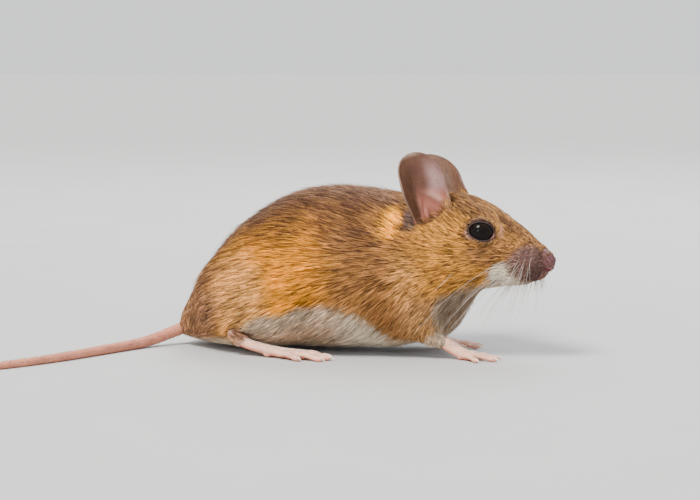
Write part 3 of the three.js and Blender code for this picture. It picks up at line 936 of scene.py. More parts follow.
# Each foot in its own measure, +X towards its toes: where that measure starts, its turn outwards, the sole's
# line, half widths and half heights at shares of its length, the toes from the inner one to the outer one
# (start, spread in degrees, length), and the pads (centre, half sizes).
HIND_FOOT = {
    "root": (-20.5, 12.6),
    "splay": 8,
    "sole": [[-0.6, 0, 4.7], [0.4, 0, 3.4], [3, 0, 2.3], [8, 0, 1.3], [12, 0, 0.95], [14.8, 0, 0.85]],
    "steps": 30,
    "shares": [0, 0.2, 0.45, 0.65, 0.85, 1],
    "widths": [1.2, 1.2, 1.2, 1.45, 1.95, 1.75],
    "heights": [1.2, 1.1, 0.95, 0.95, 0.92, 0.8],
    "toe_radius": 0.6,
    "toes": [
        ((11.2, -1.6, 1.05), -20, 4.2),
        ((14.2, -1.25, 1.05), -8, 5.6),
        ((14.8, 0.0, 1.1), 0, 6.0),
        ((14.2, 1.25, 1.05), 8, 5.6),
        ((11.0, 1.7, 1.05), 20, 4.6),
    ],
    "pads": [
        ((12.6, -1.15, 0.5), (0.75, 0.6, 0.5)),
        ((12.4, 1.2, 0.5), (0.75, 0.6, 0.5)),
        ((14.3, -0.45, 0.5), (0.6, 0.6, 0.5)),
        ((14.2, 0.8, 0.5), (0.6, 0.55, 0.5)),
        ((8.6, -0.6, 0.6), (0.8, 0.5, 0.55)),
        ((7.2, 0.7, 0.7), (0.8, 0.45, 0.55)),
    ],
}
FORE_FOOT = {
    "root": (22.6, 7.2),
    "splay": 4,
    "sole": [[-1.0, 0.1, 3.0], [0, 0, 2.3], [1.8, 0, 1.4], [3.3, 0, 0.95], [4.9, 0, 0.9]],
    "steps": 20,
    "shares": [0, 0.3, 0.6, 0.85, 1],
    "widths": [1.2, 1.2, 1.45, 1.6, 1.45],
    "heights": [1.25, 1.15, 1.0, 0.9, 0.8],
    "toe_radius": 0.53,
    "toes": [
        ((3.4, -1.2, 1.0), -26, 4.0),
        ((4.4, -0.5, 1.0), -8, 5.4),
        ((4.4, 0.6, 1.0), 8, 5.3),
        ((3.2, 1.3, 1.0), 38, 4.0),
    ],
    "pads": [
        ((3.5, -0.9, 0.45), (0.6, 0.5, 0.45)),
        ((3.7, 0.95, 0.45), (0.6, 0.5, 0.45)),
        ((4.8, 0.05, 0.45), (0.55, 0.6, 0.42)),
        ((2.0, -0.7, 0.55), (0.6, 0.45, 0.45)),
        ((2.0, 0.7, 0.55), (0.6, 0.45, 0.45)),
    ],
}


def foot_points(path, foot, name):
    """From a foot's own measure, drawn along +X from its root, to the straight mouse."""
    path = np.asarray(path, float)
    step = STEP[name] if foot is FORE_FOOT else 0.0
    swung = turned(path, np.full(len(path), math.radians(foot["splay"])))
    swung = swung + [foot["root"][0] + step, foot["root"][1], 0]
    return straightened(swung * [1, SIDES[name], 1])


def toe_line(toe, shares, heights):
    """Points along a toe, at shares of its length and heights over the floor."""
    start, spread, length = toe
    heading = np.array([math.cos(math.radians(spread)), math.sin(math.radians(spread))])
    reach = heading * length
    return np.array([[start[0] + reach[0] * s, start[1] + reach[1] * s, h] for s, h in zip(shares, heights)])


# The arch of a toe: shares of its length, and heights as shares of its radius after its root's own height.
TOE_SHARES = (-0.12, 0.18, 0.42, 0.62, 0.8, 0.92)
TOE_ARCH = (1.9, 1.75, 1.15, 0.98, 0.95)


def toe_solid(toe, radius, foot, name):
    """A toe that arches at its knuckle and swells at its pad, in front of where the claw starts."""
    knots = toe_line(toe, TOE_SHARES, (toe[0][2], *[radius * share for share in TOE_ARCH]))
    place = np.linspace(0, 1, 22)
    line = smooth_line(knots, place)
    joints = 1 + 0.1 * np.cos(2 * math.pi * place * 2.6)
    girth = radius * mix(1.02, 0.7, place) * joints + 0.2 * radius * bell((place - 0.86) / 0.1)
    return on_foot(tube(line, girth, girth, 12), foot, name)


def oriented(faces, name):
    """Mirroring to the right side turns a shape inside out, so its faces are turned back."""
    return faces if SIDES[name] > 0 else [group[:, ::-1] for group in faces]


def on_foot(solid, foot, name):
    """A closed shape, its points and faces, set from a foot's own measure on the mouse."""
    points, faces = solid
    return foot_points(points, foot, name), oriented(faces, name)


def ball(centre, half, sides=14):
    """A closed oval ball."""
    steps = 9
    bearing = math.pi * (np.arange(steps) + 0.5) / steps - math.pi / 2
    path = np.asarray(centre) + np.stack([np.sin(bearing) * half[0], 0 * bearing, 0 * bearing], 1)
    return tube(path, np.cos(bearing) * half[1] + 0.02, np.cos(bearing) * half[2] + 0.02, sides, domed=False)


def foot_solids(foot, name):
    """Sole, toes and pads of one foot, still separate."""
    place = np.linspace(0, 1, foot["steps"])
    widths, heights = (np.interp(place, foot["shares"], foot[label]) for label in ("widths", "heights"))
    solids = [tube(smooth_line(foot["sole"], place), widths, heights, 16)]
    solids += [ball(*pad) for pad in foot["pads"]]
    toes = [toe_solid(toe, foot["toe_radius"], foot, name) for toe in foot["toes"]]
    return [on_foot(solid, foot, name) for solid in solids] + toes


def claw_solids():
    """A curved, tapering claw at the tip of every toe."""
    solids = []
    place = np.linspace(0, 1, 9)
    girth = np.interp(place, [0, 0.3, 1], [0.24, 0.21, 0.03])
    for name in SIDES:
        for foot in (HIND_FOOT, FORE_FOOT):
            heights = [foot["toe_radius"] * share for share in (1.3, 1.3, 0.85, 0.3)]
            for toe in foot["toes"]:
                line = smooth_line(toe_line(toe, (0.86, 0.97, 1.05, 1.1), heights), place)
                points, faces = tube(line, girth * 0.75, girth, 8)
                points[:, 2] = np.maximum(points[:, 2], 0.02)
                solids.append(on_foot((points, faces), foot, name))
    return solids


def tail_solid():
    """The tail with its rings of scales, pressed flat where it lies on the floor."""
    steps = 420
    place = np.linspace(0, 1, steps)
    knots = TAIL_PATH.copy()
    radius = mix(*TAIL_RADII, place**0.9)
    knot_radii = mix(*TAIL_RADII, np.linspace(0, 1, len(knots)) ** 0.9)
    knots[:, 2] += knot_radii - 0.06
    line = smooth_line(knots, place)
    run = running_length(line)
    even = np.linspace(0, run[-1], steps)
    line = np.stack([np.interp(even, run, line[:, k]) for k in range(3)], 1)
    radius = np.interp(even, run, radius)
    ring = 1 + 0.028 * np.cos(2 * math.pi * even / TAIL_RING)
    points, faces = tube(line, radius * ring, radius * ring, 11)
    points[:, 2] = np.maximum(points[:, 2], 0.0)
    return points, faces


def tail_run(points):
    """How far along the tail each point lies, in millimetres."""
    line = smooth_line(TAIL_PATH, np.linspace(0, 1, 400))
    tree = place_tree(line, range(len(line)))
    index = np.array([tree.find(point)[1] for point in points])
    index = np.clip(index, 1, len(line) - 2)
    tangent = unit(line[index + 1] - line[index - 1])
    return running_length(line)[index] + dot(points - line[index], tangent)


# ---- markings


def blot(points, centre, half, soft=0.6):
    """1 inside an oval place on either side of the mouse, fading out round it."""
    offset = (points * [1, 0, 1] + [0, 1, 0] * np.abs(points[:, 1:2]) - np.array(centre)) / np.array(half)
    return ease(1 + soft, 1 - soft * 0.5, np.linalg.norm(offset, axis=1))


# Spots on either side of the coat, in the order in which they are laid: colour, strength, centre, half sizes,
# softness of the edge and share of dark hairs.
COAT_SPOTS = [
    # A painted highlight on the side of the neck, in the haunch's peach.
    ("haunch", 0.42, (17, 12, 16.3), (2.6, 6, 3.6), 0.7, 0.2),
    ("haunch", 0.25, (5, 14, 10), (3.2, 6, 2.4), 0.7, 0.2),
    ("dark", 0.45, (6.8, 10, 27), (2.4, 6, 4.6), 0.7, 0.5),
    ("ear_patch", 1.0, (12.9, 10.6, 27.4), (1.9, 4.2, 3.8), 0.4, 0.02),
    # Painted shade in the hollow under the ear.
    ("ear_shade_and_eye_ring", 0.95, (16.9, 9.8, 28.2), (2.2, 4, 3.0), 0.35, 0.15),
    ("dark", 0.7, (15.2, 11.5, 25.4), (1.9, 4, 0.55), 0.6, 0.3),
    ("dark", 0.5, (31.6, 6.5, 22.2), (2.2, 3, 0.5), 0.6, 0.2),
    ("shoulder", 0.65, (32.2, 6, 21.8), (3.6, 4, 2.2), 0.7, 0.3),
    # Painted shadow under the haunch, above the heel.
    ("dark", 0.2, (-21.5, 14, 4.6), (2.2, 4, 1.2), 0.6, 0.3),
]
EYE_CORNER_SPOTS = [
    ("pad", 0.75, (28.2, 8.0, 25.2), (1.0, 2.5, 0.9), 0.5, 0.2),
    ("pad", 0.7, (33.6, 5.2, 25.0), (0.9, 2.5, 0.9), 0.5, 0.2),
]
NOSE_SPOTS = [
    ("dark", 0.55, (39.3, 2.5, 17.9), (1.5, 3, 1.5), 0.5, 0.5),
    ("dark", 0.6, (40.5, 3.0, 19.2), (0.6, 2.2, 2.2), 0.6, 0.5),
]


def markings(points, normals):
    """At each point of the straight mouse: the coat's tone, its share of dark hairs, and how pale it is."""
    colours = bpy.context.scene.mouse_coat_colours
    x, y, z = points.T
    side = np.abs(y)
    wobble = ripples(points, 5.0, 3) * 0.7
    tone = np.tile(np.array(colours.flank), (len(points), 1))
    ticked = np.full(len(points), 0.2)

    def lay(label, share, dark_share):
        nonlocal tone, ticked
        share = np.clip(share, 0, 1)
        tone = mix(tone, np.array(getattr(colours, label)), share[:, None])
        ticked = mix(ticked, dark_share, share)

    def lay_spots(spots):
        for label, strength, centre, half, soft, dark_share in spots:
            lay(label, strength * blot(points, centre, half, soft), dark_share)

    lay("shoulder", 0.85 * ease(-4, 4.5, x + 2 * wobble) * ease(30, 22, z), 0.24)
    lay("haunch", 0.9 * blot(points, (-17, 13.5, 12.5), (4.8, 7, 7.5)), 0.12)
    lay("rump", 0.9 * ease(-18, -25, x + wobble), 0.25)
    rear_rise = np.maximum(-x - 10, 0)
    lay("back", 0.97 * (ease(18, 30, z + wobble + 0.2 * rear_rise) * ease(22, 10, x)), 0.42)
    crest = ease(8.5, 4.5, side) * ease(22, 26, z + 0.3 * rear_rise) * ease(23, 16, x)
    lay("crest", 0.6 * crest, 0.35)
    lay("cheek", ease(13, 22, x + wobble) * ease(12, 15, z), 0.22)
    lay("chest", ease(13, 17, x) * ease(15, 11, z + wobble), 0.2)
    top = ease(0.25, 0.8, normals[:, 2] + 0.1 * wobble) * ease(15, 22, x) * ease(20.5, 22.5, z)
    lay("crown", top, 0.56)
    lay("crown", 0.6 * blot(points, (36.5, 2.5, 23.4), (3.5, 3.5, 1.8)), 0.3)
    lay("crown", 0.8 * crest * ease(12, 16, x), 0.5)
    lay_spots(COAT_SPOTS)
    # A grey violet ring in the coat round each eye, in the colour of the painted shade under the ear.
    lay("ear_shade_and_eye_ring", 0.5 * ease(1.45, 1.15, eye_distance(points)), 0.3)
    lay_spots(EYE_CORNER_SPOTS)
    pale = ease(0.8, -0.8, z - np.interp(x, *WHITE_EDGE.T) + wobble)
    breast_top = z - 14 - 6 * ease(18, 22, x)
    breast = ease(5.0, 3.0, side) * ease(0, -2.5, breast_top) * ease(10, 13, x) * ease(29, 26, x)
    pale = np.maximum(pale, breast)
    lay("underside", pale, 0.05)
    # Painted light: the lip's white over the front of the pale belly.
    lay("lip", 0.85 * pale * ease(0, 7, x) * ease(15, 11, x), 0.05)
    # Painted shade over the pale throat under the jaw.
    lay("dark", 0.55 * pale * blot(points, (26, 4, 12.2), (5.2, 5, 4.8)), 0.3)
    cuff = leg_share(points) * ease(4.6, 2.8, z)
    lay("underside", 0.85 * cuff, 0.05)
    pad = whisker_pad_share(points)
    lip = ease(1.15, 0.8, np.hypot((x - 34.7) / 2.5, (z - 17.6) / 2.2)) * (1 - pad)
    lay("lip", lip, 0.0)
    lay("pad", pad, 0.6)
    lay("pad", ease(2.6, 1.6, side) * ease(36, 38.5, x) * ease(19.5, 18.5, z), 0.45)
    lay("crown", ease(2.8, 1.8, side) * ease(36, 38, x) * ease(20.2, 21, z), 0.45)
    lay_spots(NOSE_SPOTS)
    return tone, ticked, np.maximum(0.6 * np.maximum(pale, cuff) * (1 - pad), lip)


def bare_markings(points, normals, part):
    """Colour and bareness of the skin. part gives the share of each part that was joined to the body."""
    flesh = bpy.context.scene.mouse_flesh_colours
    coat = bpy.context.scene.mouse_coat_colours
    x, y, z = points.T
    tone, _, _ = markings(points, normals)
    bare = np.zeros(len(points))

    def lay(colour, share):
        nonlocal tone, bare
        share = np.clip(share, 0, 1)
        tone = mix(tone, np.array(colour), share[:, None])
        bare = np.maximum(bare, share)

    for name in SIDES:
        heights, sweep, depth = ear_place(points, name)
        on_ear = part[f"ear_{name}"]
        inside = ease(0.3, 0.16, depth) * on_ear
        lay(flesh.ear_rear, on_ear)
        lay(flesh.ear_middle, inside * ease(0.3, 0.1, sweep) * ease(1.0, 0.8, heights))
        # Painted highlight down the front wall inside the ear.
        front = inside * ease(-0.2, -0.6, sweep) * ease(0.3, 0.5, heights) * ease(0.98, 0.55, heights)
        lay(flesh.ear_front_highlight, front)
        lay(flesh.ear_base, 0.9 * inside * ease(0.56, 0.26, heights) * ease(0.35, 0.0, sweep))
        # Painted highlight on the raised folds low inside the ear.
        fold = inside * ease(0.1, 0.35, ear_relief(heights, sweep)) * ease(0.5, 0.35, heights)
        lay(flesh.ear_rim_and_fold_highlight, 0.3 * fold)
        lay(flesh.ear_base, on_ear * ease(0.14, 0.06, heights) * ease(0.4, 0.7, sweep))
        rim = on_ear * ease(0.95, 0.99, np.maximum(np.abs(sweep), heights + 0.01))
        pale_rim = 0.5 * rim * ease(-0.9, 0.2, sweep + 2 * (heights - 0.7)) * ease(0.3, 0.6, heights)
        lay(flesh.ear_rim_and_fold_highlight, pale_rim)
        lay(flesh.ear_rear, 0.6 * rim * ease(-0.5, -0.8, sweep) * ease(0.35, 0.5, heights))
        lay(coat.crown, 0.9 * on_ear * ear_fringe(heights, sweep))
    lay(flesh.pad_skin, 0.9 * whisker_pad_share(points))
    lay(flesh.ear_base, 0.9 * ear_opening_share(points))
    on_nose = ease(1.55, 1.3, nose_distance(points)) * ease(38.4, 39.2, x)
    lay(flesh.nose, on_nose)
    mottle = np.clip(1 + 0.45 * ripples(points, 0.8, 12), 0.5, 1.6)
    tone = tone * mix(1.0, mottle, on_nose)[:, None]
    pit = np.hypot(np.hypot((x - 42.1) / 0.9, (np.abs(y) - 1.2) / 0.7), (z - 18.2) / 0.6)
    lay(flesh.nostril, ease(1.25, 0.6, pit))
    lips = bell((z - MOUTH["height"]) / 0.4) * ease(MOUTH["back"] + 1, MOUTH["back"] + 3, x)
    lay(flesh.pad_skin, 0.7 * lips)
    oval = eye_distance(points)
    lay(flesh.lid, ease(1.4, 1.15, oval))
    lay(flesh.pad_skin, 0.85 * ease(1.12, 1.04, oval))
    lay(flesh.corner, 0.8 * blot(points, (32.9, 5.5, 24.7), (1.0, 1.4, 0.6), 0.7) * ease(1.6, 1.3, oval))
    feet = part["feet"]
    lay(flesh.foot, feet)
    # Redder under the feet and low towards the floor: partly the pads' own colour, partly painted shade.
    lay(flesh.pad, 0.85 * (feet * ease(-0.2, -0.7, normals[:, 2])))
    lay(flesh.pad, 0.3 * feet * ease(0.9, 0.35, standing(points)[:, 2]))
    lay(flesh.tail, part["tail"])
    return tone, bare


# ---- the skin


def leg_share(points):
    """1 on the lower foreleg, where the hair is short, 0 on the body."""
    stand = standing(points)
    total = np.zeros(len(points))
    for name, side in SIDES.items():
        elbow = np.array([15.5 + STEP[name] * 0.4, side * 8.5, 6.6])
        wrist = np.array([22.6 + STEP[name], side * 7.3, 2.3])
        axis = wrist - elbow
        share = np.clip((stand - elbow) @ axis / (axis @ axis), 0, 1)
        away = np.linalg.norm(stand - elbow - share[:, None] * axis, axis=1)
        total = np.maximum(total, ease(4.2, 2.4, away) * ease(0.0, 0.5, share))
    return total


def coat_depth(points):
    """How deep the coat lies over the skin, in millimetres."""
    sizes = bpy.context.scene.mouse_coat
    x, _, z = points.T
    depth = np.full(len(points), sizes.depth_back / MM)
    depth = mix(depth, 1.2, ease(22, 10, z) * ease(16, 8, x))
    depth = mix(depth, sizes.depth_head / MM, ease(12, 22, x))
    depth = mix(depth, sizes.depth_muzzle / MM, ease(32, 37.5, x))
    depth = mix(depth, 0.35, leg_share(points))
    depth = mix(depth, 0.03, ease(1.4, 1.12, nose_distance(points)))
    return mix(depth, 0.9, ease(2.5, 0.8, z) * ease(18, 10, x))


# Sizes of the cubes that body and feet are remeshed with. The body's solids are swollen first, in metres, so
# that they meet across the gaps between them.
BODY_CUBE = 0.5
FOOT_CUBE = 0.21
SWELLING = 0.0002


def body_skin():
    """The skin of trunk, head and legs: the solids as one, smoothed, and drawn in by the coat's depth."""
    lump = bmesh.new()
    for name in BODY_NODES + LEG_NODES + EYE_NODES:
        lump.from_mesh(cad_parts[name].data)
    bmesh.ops.remove_doubles(lump, verts=lump.verts, dist=1e-6)
    lump.normal_update()
    for corner in lump.verts:
        corner.co += corner.normal * SWELLING
    mesh = bpy.data.meshes.new("mouse_skin")
    lump.to_mesh(mesh)
    lump.free()
    skin = placed("mouse_skin", mesh)
    set_points(skin, points_of(skin) / MM - ORIGIN)
    with_modifier(skin, "REMESH", mode="VOXEL", voxel_size=BODY_CUBE, use_smooth_shade=True)
    set_points(skin, straightened(points_of(skin)))
    keep_outer_shell(skin)
    points, edges = points_of(skin), edges_of(skin)
    x = points[:, 0]
    for passes, weight in ((10, 0.5), (14, 0.5 * ease(37, 33, x)), (26, 0.5 * ease(24, 14, x))):
        points = relax(points, edges, passes, weight)
    set_points(skin, points)
    drawn_in = relax(coat_depth(points) + 0.2, edges, 6)
    points = points - normals_of(skin) * drawn_in[:, None]
    set_points(skin, relax(points, edges, 4))
    refine(skin)
    edges = edges_of(skin)
    points = relax(points_of(skin), edges, 3, 0.5 * ease(30, 36, points_of(skin)[:, 0]))
    set_points(skin, points)
    points = round_the_eyes(sculpt_muzzle(points, normals_of(skin)))
    near_lid = bell((eye_distance(points) - 1.3) / 0.4)
    set_points(skin, relax(points, edges, 2, 0.35 * near_lid))
    return skin


def refine(skin):
    """Divides the squares round the eyes and over the muzzle, which carry the finest folds."""
    points = points_of(skin)
    close = (eye_distance(points) < 2.0) | (points[:, 0] > 36.6)
    fine = bmesh.new()
    fine.from_mesh(skin.data)
    fine.verts.ensure_lookup_table()
    edges = [edge for edge in fine.edges if close[edge.verts[0].index] and close[edge.verts[1].index]]
    bmesh.ops.subdivide_edges(fine, edges=edges, cuts=3, use_grid_fill=True)
    fine.to_mesh(skin.data)
    fine.free()
    skin.data.update()


def foot_piece(foot, name):
    piece = joined(f"foot_{name}", foot_solids(foot, name))
    with_modifier(piece, "REMESH", mode="VOXEL", voxel_size=FOOT_CUBE, use_smooth_shade=True)
    points = relax(points_of(piece), edges_of(piece), 4)
    points = points + normals_of(piece) * 0.05
    points[:, 2] = np.maximum(points[:, 2], 0.0)
    set_points(piece, points)
    return piece


def mark_faces(piece, mark):
    """Gives every face this number; it is the number of a material that isn't chosen yet."""
    piece.data.materials.clear()
    for _ in range(mark + 1):
        piece.data.materials.append(None)
    piece.data.polygons.foreach_set("material_index", np.full(len(piece.data.polygons), mark, np.int32))


def unite(skin, piece, part):
    """Joins a closed piece to the skin; its faces keep the number of their part as their mark."""
    mark_faces(piece, PARTS.index(part))
    with_modifier(skin, "BOOLEAN", operation="UNION", object=piece, solver="MANIFOLD")
    bpy.data.objects.remove(piece)


PARTS = ["body", "ear_left", "ear_right", "feet", "tail"]


def part_shares(skin):
    """For each part that was joined on, 1 on its points and 0 elsewhere, a little softened."""
    mesh = skin.data
    marks = read(mesh.polygons, "material_index", 1, np.int32)
    totals = read(mesh.polygons, "loop_total", 1, np.int32)
    corners = read(mesh.loops, "vertex_index", 1, np.int32)[:, 0]
    corner_marks = np.repeat(marks[:, 0], totals[:, 0])
    edges = edges_of(skin)
    shares = {}
    for number, name in enumerate(PARTS):
        share = np.zeros(len(mesh.vertices))
        share[corners[corner_marks == number]] = 1.0
        shares[name] = relax(share, edges, 2)
    return shares


def set_attribute(piece, name, values):
    kind = "FLOAT_COLOR" if values.ndim == 2 else "FLOAT"
    data = piece.data.attributes.new(name, kind, "POINT").data
    if values.ndim == 2:
        values = np.concatenate([values, np.ones((len(values), 1))], 1)
        data.foreach_set("color", values.astype(np.float32).ravel())
    else:
        data.foreach_set("value", values.astype(np.float32))


# What the skin's step leaves for the later ones: the ground under the coat, and each part that was joined on.
LAID = {}


class MOUSE_OT_model_skin(bpy.types.Operator):
    """Makes the one skin over trunk, head, ears, legs, feet and tail"""

    bl_idname = "mouse.model_skin"
    bl_label = "Model the skin"

    def execute(self, context):
        skin = body_skin()
        for _ in PARTS:
            skin.data.materials.append(None)
        LAID["ground"] = ground_of(skin)
        for name in SIDES:
            unite(skin, joined(f"ear_{name}", [ear_shape(name)]), f"ear_{name}")
        for name in SIDES:
            for foot in (HIND_FOOT, FORE_FOOT):
                unite(skin, foot_piece(foot, name), "feet")
        unite(skin, joined("tail", [tail_solid()]), "tail")
        shares = part_shares(skin)
        LAID["parts"] = {name: ground_of(skin, shares[name]) for name in PARTS[1:]}
        points = points_of(skin)
        tone, bare = bare_markings(points, normals_of(skin), shares)
        run = np.zeros(len(points))
        on_tail = shares["tail"] > 0
        run[on_tail] = tail_run(points[on_tail])
        mark_faces(skin, 0)
        skin.data.materials[0] = skin_material(context.scene.mouse_coat_colours)
        for label, values in (("tone", tone), ("bare", bare), ("ring_run", run), ("ringed", shares["tail"])):
            set_attribute(skin, label, values)
        set_points(skin, in_frame(points))
        shade_smooth(skin)
        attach(skin, "root")
        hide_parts(*BODY_NODES, *LEG_NODES, *FOOT_NODES, *EAR_NODES, *TAIL_NODES)
        return {"FINISHED"}


# ---- eyes, claws and whiskers


def eye_material(flesh):
    colours = opened(flesh.eye), (0.02, 0.011, 0.008, 1)
    return clouded_material("mouse_eye", (900.0, 2.0), colours, (0.35, 0.75, 0.0, 0.5), (0.05, 0.09), 0.09)


EYE_RINGS = 35
EYE_SIDES = 56


def eyeball(name):
    """A ball with a bulging cornea, which looks out between the lids."""
    centre, out, _, _ = eye_axes(SIDES[name])
    steps = math.pi * (np.arange(EYE_RINGS) + 1) / (EYE_RINGS + 1) - math.pi / 2
    turns = 2 * math.pi * np.arange(EYE_SIDES) / EYE_SIDES
    rise, bearing = (angle.ravel() for angle in np.meshgrid(steps, turns, indexing="ij"))
    rings = np.stack([np.cos(rise) * np.cos(bearing), np.cos(rise) * np.sin(bearing), np.sin(rise)], 1)
    points = EYE_RADIUS * np.vstack([[0, 0, -1], rings, [0, 0, 1]])
    bulge = CORNEA_BULGE * ease(0.45, 0.95, unit(points) @ out)
    points = in_frame(points * (1 + bulge)[:, None] + centre)
    return mesh_piece(f"eyeball_{name}", points, capped_faces(EYE_RINGS, EYE_SIDES))


class MOUSE_OT_set_eyes(bpy.types.Operator):
    """Sets a glossy ball with a bulging cornea behind the lids of each eye"""

    bl_idname = "mouse.set_eyes"
    bl_label = "Set the eyes"

    def execute(self, context):
        material = eye_material(context.scene.mouse_flesh_colours)
        for name in SIDES:
            eye = eyeball(name)
            shade_smooth(eye)
            eye.data.materials.append(material)
            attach(eye, "root")
            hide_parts(f"eye_{name}")
        return {"FINISHED"}


def horn_material(flesh):
    colours = opened(flesh.claw), (0.9, 0.78, 0.68, 1)
    return clouded_material("mouse_claw", (3000.0, 2.0), colours, (0.3, 0.7), (0.3, 0.45))


class MOUSE_OT_model_claws(bpy.types.Operator):
    """Models a curved claw on every toe"""

    bl_idname = "mouse.model_claws"
    bl_label = "Model the claws"

    def execute(self, context):
        claws = joined("claws", claw_solids())
        claws.data.materials.append(horn_material(context.scene.mouse_flesh_colours))
        set_points(claws, in_frame(points_of(claws)))
        shade_smooth(claws)
        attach(claws, "root")
        return {"FINISHED"}


def whisker_material():
    material, tree = new_material("mouse_whisker")
    strand = noise(tree, object_place(tree), 350.0, 2.0)
    pale = blend(tree, span(tree, strand, 0.35, 0.65), (0.45, 0.39, 0.33, 1), (0.75, 0.7, 0.62, 1))
    colour = blend(tree, attribute(tree, "along"), (0.3, 0.24, 0.2, 1), pale)
    finish_material(tree, {"Base Color": colour, "Roughness": span(tree, strand, 0.3, 0.7, 0.3, 0.5)})
    return material


def whisker_line(root, heading, droop, length, steps=12):
    """A line that leaves its root along heading and bends more and more towards droop."""
    path, direction = [root], heading
    for step in range(1, steps):
        direction = unit(heading + droop * (step / steps) ** 1.2)
        path.append(path[-1] + direction * length / (steps - 1))
    return np.array(path)


class MOUSE_OT_set_whiskers(bpy.types.Operator):
    """Sets tapering whiskers in rows on both pads, with a few over the eyes and under the chin"""

    bl_idname = "mouse.set_whiskers"
    bl_label = "Set the whiskers"

    def execute(self, context):
        sizes = context.scene.mouse_whiskers
        tree = LAID["ground"]["tree"]
        draw = np.random.default_rng(SEED + 7)
        solids, shares = [], []

        def add(path, girth, root_share, tip_share):
            solids.append(tube(path, girth, girth, 5))
            shares.append(np.linspace(root_share, tip_share, len(solids[-1][0])))

        for side in SIDES.values():
            for root_x, root_z, row, share in whisker_roots():
                hit = tree.ray_cast(Vector((root_x, side * 20, root_z)), Vector((0, -side, 0)))
                if hit[0] is None:
                    raise RuntimeError("a whisker's root found no skin")
                root = np.array(hit[0]) - [0, side * 0.15, 0]
                back = mix(0.1, -1.0, share) + draw.normal() * 0.12
                down = mix(-0.75, -0.55, share) + 0.05 - 0.13 * row + draw.normal() * 0.12
                heading = unit(np.array([back, side * mix(0.6, 0.7, share), down]))
                droop = np.array([-0.2, -side * 0.2, -0.9])
                length = mix(sizes.shortest, sizes.longest, share**0.8) / MM * draw.uniform(0.75, 1.1)
                path = whisker_line(root, heading, droop, length * (1 - 0.12 * max(row - 3, 0)))
                path[:, 2] = np.maximum(path[:, 2], WHISKER_LOWEST)
                taper = mix(1.0, 0.16, np.linspace(0, 1, len(path)) ** 0.8)
                add(path, sizes.radius / MM * taper * mix(0.7, 1.0, share), 0.2, 1)
            for root, heading, length in whisker_extras(side, draw):
                start = np.array(tree.find_nearest(Vector(root))[0])
                path = whisker_line(start, unit(np.array(heading)), np.array([-0.5, 0, -0.35]), length)
                radius, root_share, tip_share = (0.03, 0, 0.4) if root[2] > EYE[2] else (0.045, 0.2, 1)
                add(path, radius * mix(1.0, 0.2, np.linspace(0, 1, len(path))), root_share, tip_share)
        whiskers = joined("whiskers", solids)
        set_attribute(whiskers, "along", np.concatenate(shares))
        whiskers.data.materials.append(whisker_material())
        set_points(whiskers, in_frame(points_of(whiskers)))
        shade_smooth(whiskers)
        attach(whiskers, "root")
        return {"FINISHED"}


def whisker_extras(side, draw):
    """Single feeling hairs over the eye, on the cheek, under the chin and round the lips."""
    extras = [
        ((31.5, side * 4.0, 29.5), (0.1, side * 0.3, 1.0), 6.0),
        ((30.2, side * 4.6, 29.6), (-0.4, side * 0.5, 0.9), 7.0),
        ((25.0, side * 9.0, 17.5), (-0.2, side * 1.0, -0.5), 6.0),
    ]
    for _ in range(bpy.context.scene.mouse_whiskers.fringe):
        x = draw.uniform(34.0, 40.6)
        ahead = mix(-0.8, 0.45, (x - 34) / 6.6) + draw.normal() * 0.12
        heading = (ahead, side * draw.uniform(0.1, 0.6), -1.0)
        extras.append(((x, side * draw.uniform(0.6, 3.4), 15.6), heading, draw.uniform(1.8, 4.0)))
    return extras


# ---- the coat


def ground_of(skin, share=None):
    """What hair grows on: the skin, or the part of it where share is whole, and a tree to find places."""
    points, triangles, normals = points_of(skin), triangles_of(skin), normals_of(skin)
    if share is not None:
        triangles = triangles[(share[triangles] > 0.9).all(axis=1)]
    tree = BVHTree.FromPolygons(points.tolist(), triangles.tolist())
    return {"points": points, "triangles": triangles, "normals": normals, "tree": tree}


# How far the hair lies below level, in degrees, at heights over the floor.
LIE_FRONT = np.array([[2, 42], [6, 38], [11, 30], [15, 21], [19, 6], [24, -12], [28, -24], [34, -26]])
LIE_REAR = np.array([[2, 32], [6, 34], [11, 22], [15, 15], [19, 12], [24, 8], [28, 2], [34, -6]])


def body_flow(points, normals):
    """The way the hair lies at each point of the straight mouse, along the skin."""
    x, y, z = points.T
    fall = mix(np.interp(z, *LIE_REAR.T), np.interp(z, *LIE_FRONT.T), ease(-18, -4, x))
    fall = fall + 14 * ease(-22, -29, x) + 10 * ease(-2, 6, x) * ease(18, 14, z)
    fall = fall + 12 * ease(8, 20, x) * ease(14, 8, z)
    fall = np.radians(fall)
    flow = np.stack([-np.cos(fall), np.zeros(len(x)), -np.sin(fall)], 1)
    outwards = np.stack([np.zeros(len(x)), np.sign(y), np.zeros(len(x))], 1)
    flow = flow + 0.12 * outwards
    from_nose = unit(points - [43.5, 0, 19.5])
    cheek = from_nose + np.array([0, 0, -0.18]) * ease(24, 18, z)[:, None]
    cheek = cheek + np.array([0, 0, 0.6]) * blot(points, (22.5, 7, 29), (4.5, 5, 3.5))[:, None]
    flow = mix(flow, cheek, ease(17, 27, x)[:, None])
    from_pad = unit((points - [38.2, 0, 20.2]) * [1, 0.3, 1]) + [-0.45, 0, 0]
    flow = mix(flow, from_pad, whisker_pad_share(points)[:, None])
    leg = leg_share(points)
    flow = mix(flow, np.array([0.35, 0, -1.0]), (0.8 * leg)[:, None])
    # Hair parts round the eye instead of crossing it.
    for side in SIDES.values():
        centre, out, _, _ = eye_axes(side)
        offset = points - centre
        away = unit(offset - out * (offset @ out)[:, None])
        close = ease(2.6, 1.1, eye_distance(points)) * (y * side > 0)
        inward = np.minimum(dot(flow, away), 0)
        flow = flow - away * (inward * close)[:, None] + away * (0.35 * close)[:, None]
    return slid(flow, normals)


